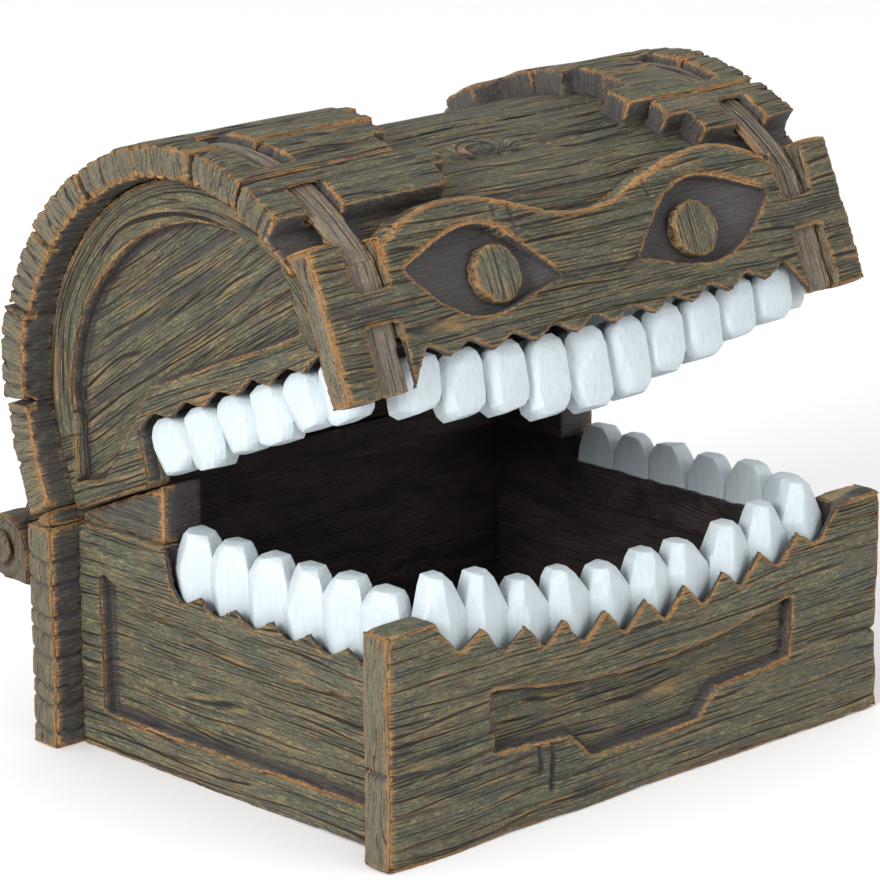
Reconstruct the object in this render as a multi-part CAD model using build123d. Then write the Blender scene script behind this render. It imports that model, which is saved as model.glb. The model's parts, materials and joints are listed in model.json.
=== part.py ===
"""Toothed wooden treasure chest whose arched lid stands ajar on two cheek wedges.

Frame: X to the chest's right, front towards -Y, Z up.
The origin is the middle of the underside. All sizes are in millimetres.
The lid is drawn in its own frame, with Y = 0 under the middle of the arch and
Z = 0 at its rim, and is then set ajar on the base by LID_PLACE.
"""
from build123d import *
import os
from math import cos, degrees, radians, sin, sqrt, tan

# Base box
BASE_W = 162.0
BASE_D = 126.5
BASE_H = 55.0
FRONT_T = 9.0
BACK_T = 9.5
END_T = 8.0
END_INSET = 8.0
FLOOR_T = 5.0
POST_W = 15.0
MOUTH_BACK = 41.75

# Sunk fields on the front board and on the end panels of the base
FRONT_FIELD_DEPTH = 3.2
END_FIELD_DEPTH = 4.2
FRONT_FIELD_MARGIN = 31.0
FRONT_FIELD_DROP = 20.0
FRONT_FIELD_SAG = 5.2
FRONT_FIELD_FOOT = 20.5
FRONT_FIELD_LEAN = 1.5
TAB_HALF_W = 17.5
TAB_FOOT = 12.5
TAB_SLOPE = 6.5
END_FIELD_MARGIN = 8.5
END_FIELD_FOOT = 9.8
END_FIELD_DROP_FRONT = 20.4
END_FIELD_DROP_MIDDLE = 21.0
END_FIELD_DROP_BACK = 11.0

# Mouth edges of the base, measured down from its top: (middle, ends) of a row
LIP_T = 2.2
SIDE_LIP_T = 2.0
FRONT_NOTCH_DROP = (15.4, 7.0)
FRONT_CREST_DROP = (8.6, 2.0)
SIDE_NOTCH_DROP = 12.2
SIDE_CREST_DROP = 8.8
LOWER_ROOT_DROP = 16.4
LOWER_SIDE_ROOT_DROP = 13.4

# Teeth and the gum rails that carry them
FRONT_TEETH = 10
SIDE_TEETH = 6
TOOTH_T = 8.0
TOOTH_GAP = 0.2
GUM_T = 2.2
GUM_LIP_T = 2.2
FRONT_GUM_LIP_DROP = 9.0
SIDE_GUM_LIP_DROP = 5.0
FIT = 0.1
LOWER_TIP_RISE = (-0.4, 7.0)
LOWER_SIDE_TIP_RISE = 4.2

# Outlines of the teeth from root to tip: (share of the length, share of the width)
LOWER_OUTLINE = ((0.0, 0.64), (0.36, 1.0), (0.64, 1.0), (1.0, 0.32))
UPPER_OUTLINE = ((0.0, 0.7), (0.3, 1.0), (0.74, 1.0), (1.0, 0.46))
RIDGE_SHARE = 0.36
BACK_SHARE = 0.8

# Arched lid, in the lid's own frame
LID_OVERHANG = 2.5
ARCH_R = 64.3
ARCH_Z = 7.85
SHELL_T = 4.0
RAISED_T = 6.4
RIM_T = 8.3
LID_FRONT_SINK = 4.2
LID_BOARD_T = 7.0
BROW_T = 10.4
LID_END_DROP = 2.5
LID_MOUTH_Y = 24.3
BACKING_T = 3.2
SEAM = 0.4

# Angles on the arch in degrees: 0 is the front, 90 the top, 180 the back
SHELL_START = 24.0
STAVE_EDGES = (34.0, 46.5, 62.0, 81.0, 101.0, 121.0, 141.0, 162.0, 180.0)

# How far each stave's ends fall short of the lid's full width
STAVE_SHORT = (0.0, 0.9, 0.2, 1.3, 0.3, 1.0, 0.0, 0.7)

# Broken inner ends of the raised planks, per stave: left pair, right pair
BROKEN_ENDS = (
    (-31.0, -26.0, 52.0, 45.0),
    (-36.0, -31.0, 38.4, 46.0),
    (-27.0, -22.5, 47.5, 43.0),
    (-28.0, -31.0, 43.0, 33.0),
    (-34.0, -40.0, 38.0, 30.0),
    (-44.0, -20.0, 30.0, 6.0),
    (-24.0, -10.0, 12.0, 26.0),
    (-6.0, -6.0, 6.0, 6.0),
)

# Mouth edges of the lid, over its rim: (middle, ends) of a row
LID_NOTCH = (6.8, 9.5)
LID_CREST = (3.4, 6.0)
LID_SIDE_NOTCH = 13.4
LID_SIDE_CREST = 10.4
UPPER_ROOT_Z = 10.2
UPPER_SIDE_ROOT_Z = 13.9
UPPER_TIP = (-13.2, -4.5)
UPPER_SIDE_TIP = -2.0

# Top edge of the lid's front board, below the foot of the raised planks
POST_DROP = 7.8
BROW_HUMP_DROP = 3.8
BROW_EDGE_DROP = 9.8
BROW_DIP_DROP = 12.2
BROW_EDGE_GAP = 2.0

# Sunk field of the lid's end panels
LID_FIELD_FRONT = 13.0
LID_FIELD_FRONT_TOP = 35.5
LID_FIELD_FOOT = 19.5
LID_FIELD_CROWN = 11.5
LID_FIELD_BACK = 12.0
LID_FIELD_BACK_Z = 26.5
LID_FIELD_TOE = 3.5
LID_FIELD_TOE_Z = 4.0
LID_FIELD_TOE_L = 10.5
LID_FIELD_RAMP = 8.0

# Straps over the lid's front shoulders
STRAP_W = 9.0
STRAP_T = 2.2
STRAP_SINK = 1.9
STRAP_INSET = 15.0
STRAP_CLEAR = 0.35
STRAP_BRIDGE_LOW = 15.4
STRAP_BRIDGE_HIGH = 23.8
STRAP_BRIDGE_ANGLES = (42.5, 51.0)
STRAP_FRONT_ANGLE = 21.0
STRAP_END_ANGLE = 72.0

# Eyes: almond sockets with a disc on their floor
EYE_MARGIN = 5.2
EYE_NOSE = 12.5
EYE_INNER_Z = 17.4
EYE_OUTER_Z = 26.5
EYE_DEPTH = 4.8
EYE_R = 7.0
EYE_Z = 21.2
EYE_SINK = 1.2
EYE_SQUINT = 3.6
EYE_GAZE = 2.0

# Lids of an eye: (share of its length from the outer corner, height)
EYE_UPPER = ((0.24, 30.2), (0.54, 32.7), (0.82, 25.4))
EYE_LOWER = ((0.74, 14.7), (0.45, 12.8), (0.18, 18.4))

# How the lid stands on the base
JAW = 22.65
HEEL_SETBACK = 4.0
HEEL_RISE = 2.7
CHEEK_T = 12.0
CHEEK_SINK = 2.0
CHEEK_FRONT_SINK = 2.0
CHEEK_FRONT_GAP = 0.8
SEAT_GAP = 0.2
UPSTAND_T = 3.0
UPSTAND_RISE = 9.0
UPSTAND_GAP = 0.6

# Hinges
KNUCKLE_R = 8.0
HINGE_DROP = 8.0
HINGE_STAND_OFF = 0.5
HINGE_L = 32.0
LEAF_T = 2.5
LEAF_INSET = 3.0
LEAF_FOOT = 27.0
LID_LEAF_FOOT = 1.0
LID_LEAF_TOP = 18.0
ARM_FOOT = 8.0
ARM_TOP = 15.0
ARM_ROOT = 2.0
KNUCKLE_GAP = 0.4
PIN_R = 2.5
PIN_CLEAR = 0.06
PIN_HEAD_R = 4.5
PIN_HEAD_T = 1.5

# Places worked out from the base's sizes
HALF_W = BASE_W / 2
FRONT_Y = -BASE_D / 2
BACK_Y = BASE_D / 2
INNER_FRONT_Y = FRONT_Y + FRONT_T
INNER_BACK_Y = BACK_Y - BACK_T
END_X = HALF_W - END_INSET
INNER_X = END_X - END_T
MOUTH_Y = BACK_Y - MOUTH_BACK
ROW_FRONT_Y = FRONT_Y + LIP_T
ROW_BACK_Y = ROW_FRONT_Y + TOOTH_T
ROW_SIDE_X = END_X - SIDE_LIP_T
FRONT_ROW = 2 * (INNER_X - FIT)
LIP_BACK_Y = MOUTH_Y - CHEEK_FRONT_SINK
SIDE_ROW_BACK_Y = MOUTH_Y + CHEEK_FRONT_SINK - CHEEK_FRONT_GAP
SIDE_ROW = SIDE_ROW_BACK_Y - ROW_BACK_Y - 2 * FIT
SIDE_ROW_MID = ROW_BACK_Y + FIT + SIDE_ROW / 2
LOWER_ROOT_Z = BASE_H - LOWER_ROOT_DROP
LOWER_SIDE_ROOT_Z = BASE_H - LOWER_SIDE_ROOT_DROP
SIDE_CREST_Z = BASE_H - SIDE_CREST_DROP
GUM_LIP_Y = ROW_BACK_Y + 2 * FIT
GUM_LIP_X = ROW_SIDE_X - TOOTH_T - 2 * FIT

# Places worked out from the lid's sizes
LID_HALF_W = HALF_W + LID_OVERHANG
SHELL_R = ARCH_R - RAISED_T
ARCH_IN = ARCH_R - RIM_T
LINING_R = SHELL_R - SHELL_T
LID_FRONT_Y = LID_FRONT_SINK - ARCH_R
LID_INNER_Y = LID_FRONT_Y + LID_BOARD_T
BROW_BACK_Y = LID_FRONT_Y + BROW_T
LID_END_X = LID_HALF_W - END_INSET
LID_INNER_X = LID_END_X - END_T
LID_ROW_Y = LID_FRONT_Y + LIP_T
LID_ROW_BACK_Y = LID_ROW_Y + TOOTH_T
LID_ROW_X = LID_END_X - LIP_T
LID_RAIL_TOP = UPPER_ROOT_Z + GUM_T
RAISED_FOOT_Z = ARCH_Z + ARCH_R * sin(radians(STAVE_EDGES[0]))
POST_TOP = RAISED_FOOT_Z - POST_DROP
STRAP_X = LID_HALF_W - STRAP_INSET
SLOT_HALF = STRAP_W / 2 + STRAP_CLEAR
STRAP_OUT_R = ARCH_R - STRAP_SINK
STRAP_IN_R = STRAP_OUT_R - STRAP_T
STRAP_BED_R = STRAP_IN_R - STRAP_CLEAR / 2
LID_POST_X = STRAP_X - SLOT_HALF
LID_FRONT_ROW = 2 * (LID_POST_X - FIT)
LID_SIDE_ROW = LID_MOUTH_Y - LID_ROW_BACK_Y - 2 * FIT
LID_SIDE_MID = LID_ROW_BACK_Y + FIT + LID_SIDE_ROW / 2
EYE_OUTER_X = LID_POST_X - EYE_MARGIN
EYE_MID_X = (EYE_OUTER_X + EYE_NOSE) / 2

# Where the lid and the hinges stand
HEEL_Y = BACK_Y - HEEL_SETBACK
HEEL_Z = BASE_H + HEEL_RISE
LID_PLACE = Pos(0, HEEL_Y, HEEL_Z) * Rot(-JAW, 0, 0) * Pos(0, -ARCH_R, 0)
HINGE_Y = BACK_Y + KNUCKLE_R + HINGE_STAND_OFF
HINGE_Z = BASE_H - HINGE_DROP
HINGE_INNER = HALF_W - HINGE_L
KNUCKLE_L = HINGE_L / 3
LEAF_X = (-HALF_W + LEAF_INSET, -HINGE_INNER)
LID_KNUCKLE = (-HALF_W + KNUCKLE_L, -HINGE_INNER - KNUCKLE_L)


def along_x(face, x_lo, x_hi):
    """Extrude a face drawn in (y, z) from x_lo to x_hi."""
    return extrude(Plane.YZ.offset(x_lo) * face, amount=x_hi - x_lo)


def along_y(face, y_lo, y_hi):
    """Extrude a face drawn in (x, z) from y_lo to y_hi."""
    return extrude(Plane.XZ.offset(-y_hi) * face, amount=y_hi - y_lo)


def polygon(points):
    return make_face(Polyline(*points, close=True))


def block(x_lo, x_hi, y_lo, y_hi, z_lo, z_hi):
    centre = Pos((x_lo + x_hi) / 2, (y_lo + y_hi) / 2, (z_lo + z_hi) / 2)
    return centre * Box(x_hi - x_lo, y_hi - y_lo, z_hi - z_lo)


def right_of(left_piece):
    """The mirror image of a left-hand piece, or of each piece in a row."""
    if isinstance(left_piece, list):
        return [right_of(piece) for piece in left_piece]
    return mirror(left_piece, about=Plane.YZ)


def on_base(lid_piece):
    """Set a piece of the lid, or each piece in a row, ajar on the base."""
    if isinstance(lid_piece, list):
        return [LID_PLACE * piece for piece in lid_piece]
    return LID_PLACE * lid_piece


def bow(place, row_length, middle, end):
    """A shallow parabola along a row: middle at its middle, end at both ends."""
    return middle + (end - middle) * (2 * place / row_length) ** 2


def row_places(count, row_length):
    """Middles of equal teeth that share a row, measured from the row's middle."""
    pitch = row_length / count
    return [(i - (count - 1) / 2) * pitch for i in range(count)]


def zigzag(count, row_length, notch, crest):
    """Edge of a lip: a notch at each tooth and a crest between two teeth."""
    half_pitch = row_length / count / 2
    points = []
    for place in row_places(count, row_length):
        points.append((place, bow(place, row_length, *notch)))
        points.append((place + half_pitch, bow(place + half_pitch, row_length, *crest)))
    return points[:-1]


def tooth(width, length, outline):
    """One cut tooth: root at Z = 0, tip up, a ridge on its outer face at Y = 0."""
    half = width / 2
    right = [(half * wide, length * along) for along, wide in outline]
    left = [(-x, z) for x, z in reversed(right)]
    back = [(TOOTH_T * deep, length * along) for along, deep in outline]
    plan = [
        (0.0, 0.0),
        (half, RIDGE_SHARE * TOOTH_T),
        (BACK_SHARE * half, TOOTH_T),
        (-BACK_SHARE * half, TOOTH_T),
        (-half, RIDGE_SHARE * TOOTH_T),
    ]
    front_view = along_y(polygon(right + left), 0, TOOTH_T)
    side_view = along_x(polygon([(0.0, 0.0), *back, (0.0, length)]), -half, half)
    return extrude(polygon(plan), amount=length) & front_view & side_view


def tooth_row(count, row_length, length, outline):
    """Teeth along X whose lengths follow (middle, ends) of the row."""
    width = row_length / count - TOOTH_GAP
    places = row_places(count, row_length)
    return [Pos(x, 0, 0) * tooth(width, bow(x, row_length, *length), outline) for x in places]


def hang(teeth):
    """Turn a row over so that its tips point down."""
    return [mirror(piece, about=Plane.XY) for piece in teeth]


def base_front_board():
    notch = [BASE_H - drop for drop in FRONT_NOTCH_DROP]
    crest = [BASE_H - drop for drop in FRONT_CREST_DROP]
    edge = zigzag(FRONT_TEETH, FRONT_ROW, notch, crest)
    post_x = HALF_W - POST_W
    left_side = [(-HALF_W, 0), (-HALF_W, BASE_H), (-post_x, BASE_H)]
    right_side = [(post_x, BASE_H), (HALF_W, BASE_H), (HALF_W, 0)]
    board = along_y(polygon(left_side + edge + right_side), FRONT_Y, INNER_FRONT_Y)
    half_row = FRONT_ROW / 2 + FIT
    board -= block(-half_row, half_row, ROW_FRONT_Y, INNER_FRONT_Y, LOWER_ROOT_Z - GUM_T, BASE_H)
    return board - along_y(front_field(), FRONT_Y, FRONT_Y + FRONT_FIELD_DEPTH)


def front_field():
    """Sunk field on the front: a sagging top edge and a stepped tab below."""
    half_w = HALF_W - FRONT_FIELD_MARGIN
    foot_w = half_w - FRONT_FIELD_LEAN
    top = BASE_H - FRONT_FIELD_DROP
    step_z = FRONT_FIELD_FOOT - FRONT_FIELD_LEAN
    step_w = TAB_HALF_W + TAB_SLOPE
    right = [(half_w, top), (foot_w, FRONT_FIELD_FOOT), (step_w, step_z), (TAB_HALF_W, TAB_FOOT)]
    left = [(-x, z) for x, z in reversed(right)]
    upper = ThreePointArc((-half_w, top), (0, top - FRONT_FIELD_SAG), (half_w, top))
    return make_face([upper, Polyline(*right, *left)])


def base_back_board():
    return block(-HALF_W, HALF_W, INNER_BACK_Y, BACK_Y, 0, BASE_H)


def base_left_end():
    notch = BASE_H - SIDE_NOTCH_DROP
    edge = zigzag(SIDE_TEETH, SIDE_ROW, (notch, notch), (SIDE_CREST_Z, SIDE_CREST_Z))
    lip = [(place + SIDE_ROW_MID, height) for place, height in edge]
    front = [(INNER_FRONT_Y, 0), (INNER_FRONT_Y, SIDE_CREST_Z)]
    mouth = [(LIP_BACK_Y, SIDE_CREST_Z), (MOUTH_Y, BASE_H)]
    back = [(INNER_BACK_Y, BASE_H), (INNER_BACK_Y, 0)]
    board = along_x(polygon(front + lip + mouth + back), -END_X, -INNER_X)
    rail_z = LOWER_SIDE_ROOT_Z - GUM_T
    board -= block(-ROW_SIDE_X, -INNER_X, ROW_BACK_Y, SIDE_ROW_BACK_Y, rail_z, BASE_H)
    return board - along_x(end_field(), -END_X, -END_X + END_FIELD_DEPTH)


def end_field():
    """Sunk field of the base's end: its top edge falls from back to front."""
    front_y, back_y = INNER_FRONT_Y + END_FIELD_MARGIN, INNER_BACK_Y - END_FIELD_MARGIN
    front_top = (front_y, BASE_H - END_FIELD_DROP_FRONT)
    middle = (0, BASE_H - END_FIELD_DROP_MIDDLE)
    back_top = (back_y, BASE_H - END_FIELD_DROP_BACK)
    upper = ThreePointArc(front_top, middle, back_top)
    lower = Polyline(back_top, (back_y, END_FIELD_FOOT), (front_y, END_FIELD_FOOT), front_top)
    return make_face([upper, lower])


def base_floor():
    return block(-INNER_X, INNER_X, INNER_FRONT_Y, INNER_BACK_Y, 0, FLOOR_T)


def rim_height(y):
    """Height of the lid's rim over the ground at depth y, as the lid rests."""
    return HEEL_Z + (HEEL_Y - y) * tan(radians(JAW))


def wedge(front_y, back_y, drop, x_lo, x_hi):
    """Wedge on the base's top whose upper face lies drop under the lid's rim."""
    outline = [
        (front_y, BASE_H),
        (back_y, BASE_H),
        (back_y, rim_height(back_y) - drop),
        (front_y, rim_height(front_y) - drop),
    ]
    return along_x(polygon(outline), x_lo, x_hi)


def left_cheek():
    """Wedge in the corner of the mouth, which the lid's end panel rests on."""
    outer = -END_X + CHEEK_SINK
    drop = LID_END_DROP / cos(radians(JAW)) + SEAT_GAP
    return wedge(MOUTH_Y + CHEEK_FRONT_SINK, INNER_BACK_Y, drop, outer, outer + CHEEK_T)


def rear_sill():
    """Wedge under the lid's rear plank, with an upstand inside it that shuts out the light."""
    sill = wedge(INNER_BACK_Y, HEEL_Y, SEAT_GAP, -HALF_W, HALF_W)
    half = END_X - CHEEK_SINK - CHEEK_T - FIT
    back_y = lid_wall(0, LINING_R - ARCH_R)[0] - UPSTAND_GAP
    front_y = back_y - UPSTAND_T
    sill += block(-half, half, front_y, back_y, BASE_H, BASE_H + UPSTAND_RISE)
    return sill + block(-half, half, front_y, INNER_BACK_Y, BASE_H, BASE_H + HEEL_RISE)


def lower_front_gum():
    """Rail under the front teeth with a lip behind them."""
    foot = LOWER_ROOT_Z - GUM_T
    half = FRONT_ROW / 2
    lip_half = GUM_LIP_X - GUM_LIP_T - FIT
    lip_back = GUM_LIP_Y + GUM_LIP_T
    gum = block(-half, half, ROW_FRONT_Y, ROW_BACK_Y, foot, LOWER_ROOT_Z)
    gum += block(-lip_half, lip_half, ROW_BACK_Y, lip_back, foot, LOWER_ROOT_Z)
    return gum + block(-lip_half, lip_half, GUM_LIP_Y, lip_back, foot, BASE_H - FRONT_GUM_LIP_DROP)


def lower_left_gum():
    """Rail under the left-hand teeth with a lip inside them."""
    foot = LOWER_SIDE_ROOT_Z - GUM_T
    y_lo, y_hi = ROW_BACK_Y + FIT, SIDE_ROW_BACK_Y - FIT
    lip_inner = -GUM_LIP_X + GUM_LIP_T
    gum = block(-ROW_SIDE_X, lip_inner, y_lo, y_hi, foot, LOWER_SIDE_ROOT_Z)
    return gum + block(-GUM_LIP_X, lip_inner, y_lo, y_hi, foot, BASE_H - SIDE_GUM_LIP_DROP)


def lower_front_teeth():
    lengths = [rise + LOWER_ROOT_DROP for rise in LOWER_TIP_RISE]
    row = tooth_row(FRONT_TEETH, FRONT_ROW, lengths, LOWER_OUTLINE)
    return [Pos(0, ROW_FRONT_Y + FIT, LOWER_ROOT_Z) * piece for piece in row]


def lower_left_teeth():
    length = LOWER_SIDE_TIP_RISE + LOWER_SIDE_ROOT_DROP
    row = tooth_row(SIDE_TEETH, SIDE_ROW, (length, length), LOWER_OUTLINE)
    place = Pos(-ROW_SIDE_X + FIT, SIDE_ROW_MID, LOWER_SIDE_ROOT_Z) * Rot(0, 0, -90)
    return [place * piece for piece in row]


def arch_point(radius, angle):
    turn = radians(angle)
    return (-radius * cos(turn), ARCH_Z + radius * sin(turn))


def ring(r_in, r_out, start, end):
    """Slice of the arch between two radii and two angles, drawn in (y, z)."""
    middle = (start + end) / 2
    outer = ThreePointArc(*[arch_point(r_out, angle) for angle in (start, middle, end)])
    inner = ThreePointArc(*[arch_point(r_in, angle) for angle in (end, middle, start)])
    back = Line(arch_point(r_out, end), arch_point(r_in, end))
    front = Line(arch_point(r_in, start), arch_point(r_out, start))
    return make_face([outer, back, inner, front])


def stave(index):
    """One plank of the arch: a lined full-width layer and two raised, broken ends."""
    half_seam = degrees(SEAM / ARCH_R) / 2
    is_front = index == 0
    is_back = index == len(STAVE_EDGES) - 2
    start = STAVE_EDGES[index] + half_seam
    end = STAVE_EDGES[index + 1] - (0 if is_back else half_seam)
    middle = (start + end) / 2
    x_end = LID_HALF_W - STAVE_SHORT[index]
    left_low, left_high, right_low, right_high = BROKEN_ENDS[index]
    lower = ring(SHELL_R, ARCH_R, start, middle)
    upper = ring(SHELL_R, ARCH_R, middle, end)
    foot = SHELL_START if is_front else start
    lining_x = LID_INNER_X - FIT
    piece = along_x(ring(ARCH_IN, SHELL_R, foot, end), -x_end, x_end)
    piece += along_x(ring(LINING_R, ARCH_IN, foot, end), -lining_x, lining_x)
    piece += along_x(lower, -x_end, left_low)
    piece += along_x(upper, -x_end, left_high)
    piece += along_x(lower, right_low, x_end)
    piece += along_x(upper, right_high, x_end)
    if is_back:
        piece += block(-x_end, x_end, ARCH_IN, SHELL_R, 0, ARCH_Z)
        piece += block(-lining_x, lining_x, LINING_R, ARCH_IN, 0, ARCH_Z)
        piece += block(-x_end, left_high, SHELL_R, ARCH_R, 0, ARCH_Z)
        piece += block(right_high, x_end, SHELL_R, ARCH_R, 0, ARCH_Z)
    left_channel = strap_channel()
    return piece - left_channel - right_of(left_channel)


def strap_channel():
    """Room for the left strap through the raised planks, bridged over once."""
    low_bridge, high_bridge = STRAP_BRIDGE_ANGLES
    top = ARCH_R + STRAP_CLEAR
    end = STRAP_END_ANGLE + degrees(STRAP_CLEAR / STRAP_BED_R)
    under = ring(STRAP_BED_R, STRAP_OUT_R + STRAP_CLEAR, SHELL_START, end)
    front = ring(STRAP_BED_R, top, SHELL_START, low_bridge)
    back = ring(STRAP_BED_R, top, high_bridge, end)
    channel = Part()
    for face in (under, front, back):
        channel += along_x(face, -STRAP_X - SLOT_HALF, -STRAP_X + SLOT_HALF)
    return channel


def left_strap():
    """Band that runs down the front board, behind its bridge, and over the shoulder."""
    x_lo, x_hi = -STRAP_X - STRAP_W / 2, -STRAP_X + STRAP_W / 2
    y_out, bend_z = arch_point(STRAP_OUT_R, STRAP_FRONT_ANGLE)
    band = along_x(ring(STRAP_IN_R, STRAP_OUT_R, STRAP_FRONT_ANGLE, STRAP_END_ANGLE), x_lo, x_hi)
    return band + block(x_lo, x_hi, y_out, y_out + STRAP_T, FIT, bend_z)


def lid_front_board():
    edge = zigzag(FRONT_TEETH, LID_FRONT_ROW, LID_NOTCH, LID_CREST)
    brow_x = LID_POST_X - BROW_EDGE_GAP
    brow_end = (-brow_x, RAISED_FOOT_Z - BROW_EDGE_DROP)
    brow = Spline(
        (brow_x, RAISED_FOOT_Z - BROW_EDGE_DROP),
        (EYE_MID_X, RAISED_FOOT_Z - BROW_HUMP_DROP),
        (0, RAISED_FOOT_Z - BROW_DIP_DROP),
        (-EYE_MID_X, RAISED_FOOT_Z - BROW_HUMP_DROP),
        brow_end,
    )
    post_top = [(-LID_POST_X, POST_TOP), (-LID_HALF_W, POST_TOP)]
    left_side = [brow_end, *post_top, (-LID_HALF_W, 0), (-LID_POST_X, 0)]
    right_side = [(-x, z) for x, z in reversed(left_side)]
    outline = make_face([brow, Polyline(*left_side, *edge, *right_side)])
    board = along_y(outline, LID_FRONT_Y, BROW_BACK_Y)
    half_row = LID_FRONT_ROW / 2 + FIT
    board -= block(-half_row, half_row, LID_ROW_Y, LID_INNER_Y, 0, LID_RAIL_TOP)
    board -= along_x(arch_bed(), -LID_HALF_W, LID_HALF_W)
    left_cuts = eye_socket() + strap_slots()
    return board - left_cuts - right_of(left_cuts)


def arch_bed():
    """Room under the arch behind the front board, so that only its brow reaches back."""
    disc = Pos(0, ARCH_Z) * Circle(SHELL_R + SEAM)
    return disc - Pos(LID_INNER_Y - ARCH_R, ARCH_Z) * Rectangle(2 * ARCH_R, 2 * ARCH_R)


def eye_socket():
    """Almond socket sunk into the front board, left-hand side."""
    outer = (-EYE_OUTER_X, EYE_OUTER_Z)
    inner = (-EYE_NOSE, EYE_INNER_Z)
    length = EYE_OUTER_X - EYE_NOSE
    upper = Spline(outer, *[(share * length - EYE_OUTER_X, z) for share, z in EYE_UPPER], inner)
    lower = Spline(inner, *[(share * length - EYE_OUTER_X, z) for share, z in EYE_LOWER], outer)
    return along_y(make_face([upper, lower]), LID_FRONT_Y, LID_FRONT_Y + EYE_DEPTH)


def eye_disc(side):
    """Pupil on the floor of its socket; both look a little to the chest's right."""
    back = LID_FRONT_Y + EYE_DEPTH
    front = LID_FRONT_Y + EYE_SINK
    disc = Rot(90, 0, 0) * Cylinder(EYE_R, back - front)
    return Pos(side * (EYE_MID_X - EYE_SQUINT) + EYE_GAZE, (back + front) / 2, EYE_Z) * disc


def strap_slots():
    """Channel behind the left strap, open to the front above and below its bridge."""
    x_lo, x_hi = -STRAP_X - SLOT_HALF, -STRAP_X + SLOT_HALF
    strap_front = arch_point(STRAP_OUT_R, STRAP_FRONT_ANGLE)[0] - STRAP_CLEAR
    channel = block(x_lo, x_hi, strap_front, BROW_BACK_Y, 0, POST_TOP)
    lower = block(x_lo, x_hi, LID_FRONT_Y, LID_INNER_Y, 0, STRAP_BRIDGE_LOW)
    upper = block(x_lo, x_hi, LID_FRONT_Y, BROW_BACK_Y, STRAP_BRIDGE_HIGH, POST_TOP)
    return channel + lower + upper


def lid_brow_backing():
    """Board behind the brow, between the lid's ends and over the gum rail."""
    half = LID_INNER_X - FIT
    top = arch_point(LINING_R, SHELL_START)[1] - FIT
    return block(-half, half, LID_INNER_Y, LID_INNER_Y + BACKING_T, LID_RAIL_TOP, top)


def lid_left_end():
    notch, crest = (LID_SIDE_NOTCH, LID_SIDE_NOTCH), (LID_SIDE_CREST, LID_SIDE_CREST)
    edge = zigzag(SIDE_TEETH, LID_SIDE_ROW, notch, crest)
    lip = [(place + LID_SIDE_MID, height) for place, height in edge]
    radius = ARCH_IN - FIT
    front_y = LID_INNER_Y + FIT
    front_top = (front_y, ARCH_Z + sqrt(radius**2 - front_y**2))
    dome = ThreePointArc(front_top, (0, ARCH_Z + radius), (radius, ARCH_Z))
    mouth = [(LID_MOUTH_Y, LID_SIDE_CREST), (LID_MOUTH_Y + CHEEK_FRONT_SINK, -LID_END_DROP)]
    heel = [(radius, -LID_END_DROP), (radius, ARCH_Z)]
    outline = Polyline(front_top, (front_y, LID_SIDE_CREST), *lip, *mouth, *heel)
    panel = along_x(make_face([dome, outline]), -LID_END_X, -LID_INNER_X)
    rail_top = UPPER_SIDE_ROOT_Z + GUM_T
    panel -= block(-LID_ROW_X, -LID_INNER_X, LID_ROW_BACK_Y, LID_MOUTH_Y, -LID_END_DROP, rail_top)
    return panel - along_x(lid_field(), -LID_END_X, -LID_END_X + END_FIELD_DEPTH)


def lid_field():
    """Sunk field of the lid's end: an arch whose foot swings down to the heel."""
    front_y = LID_INNER_Y + LID_FIELD_FRONT
    front_top = (front_y, LID_FIELD_FRONT_TOP)
    back_top = (ARCH_IN - LID_FIELD_BACK, LID_FIELD_BACK_Z)
    toe_y = ARCH_IN - LID_FIELD_TOE
    arch = ThreePointArc(front_top, (0, ARCH_Z + ARCH_IN - LID_FIELD_CROWN), back_top)
    foot = Polyline(
        back_top,
        (toe_y, LID_FIELD_TOE_Z),
        (toe_y - LID_FIELD_TOE_L, LID_FIELD_TOE_Z - LID_END_DROP / 2),
        (LID_MOUTH_Y - LID_FIELD_RAMP, LID_FIELD_FOOT),
        (front_y, LID_FIELD_FOOT),
        front_top,
    )
    return make_face([arch, foot])


def upper_front_gum():
    half = LID_FRONT_ROW / 2
    return block(-half, half, LID_ROW_Y, LID_ROW_BACK_Y, UPPER_ROOT_Z, LID_RAIL_TOP)


def upper_left_gum():
    x_lo, x_hi = -LID_ROW_X, -LID_ROW_X + TOOTH_T
    y_lo, y_hi = LID_ROW_BACK_Y + FIT, LID_MOUTH_Y - FIT
    return block(x_lo, x_hi, y_lo, y_hi, UPPER_SIDE_ROOT_Z, UPPER_SIDE_ROOT_Z + GUM_T)


def upper_front_teeth():
    lengths = [UPPER_ROOT_Z - tip for tip in UPPER_TIP]
    row = tooth_row(FRONT_TEETH, LID_FRONT_ROW, lengths, UPPER_OUTLINE)
    return [Pos(0, LID_ROW_Y + FIT, UPPER_ROOT_Z) * piece for piece in hang(row)]


def upper_left_teeth():
    length = UPPER_SIDE_ROOT_Z - UPPER_SIDE_TIP
    row = tooth_row(SIDE_TEETH, LID_SIDE_ROW, (length, length), UPPER_OUTLINE)
    place = Pos(-LID_ROW_X + FIT, LID_SIDE_MID, UPPER_SIDE_ROOT_Z) * Rot(0, 0, -90)
    return [place * piece for piece in hang(row)]


def knuckle_face(foot):
    """Knuckle with a solid web to its leaf: the hull of the barrel and the web's foot."""
    barrel = Pos(HINGE_Y, HINGE_Z) * Circle(KNUCKLE_R)
    web = make_hull(barrel.edges() + polygon(foot).edges())
    return web - Pos(HINGE_Y, HINGE_Z) * Circle(PIN_R + PIN_CLEAR)


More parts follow.
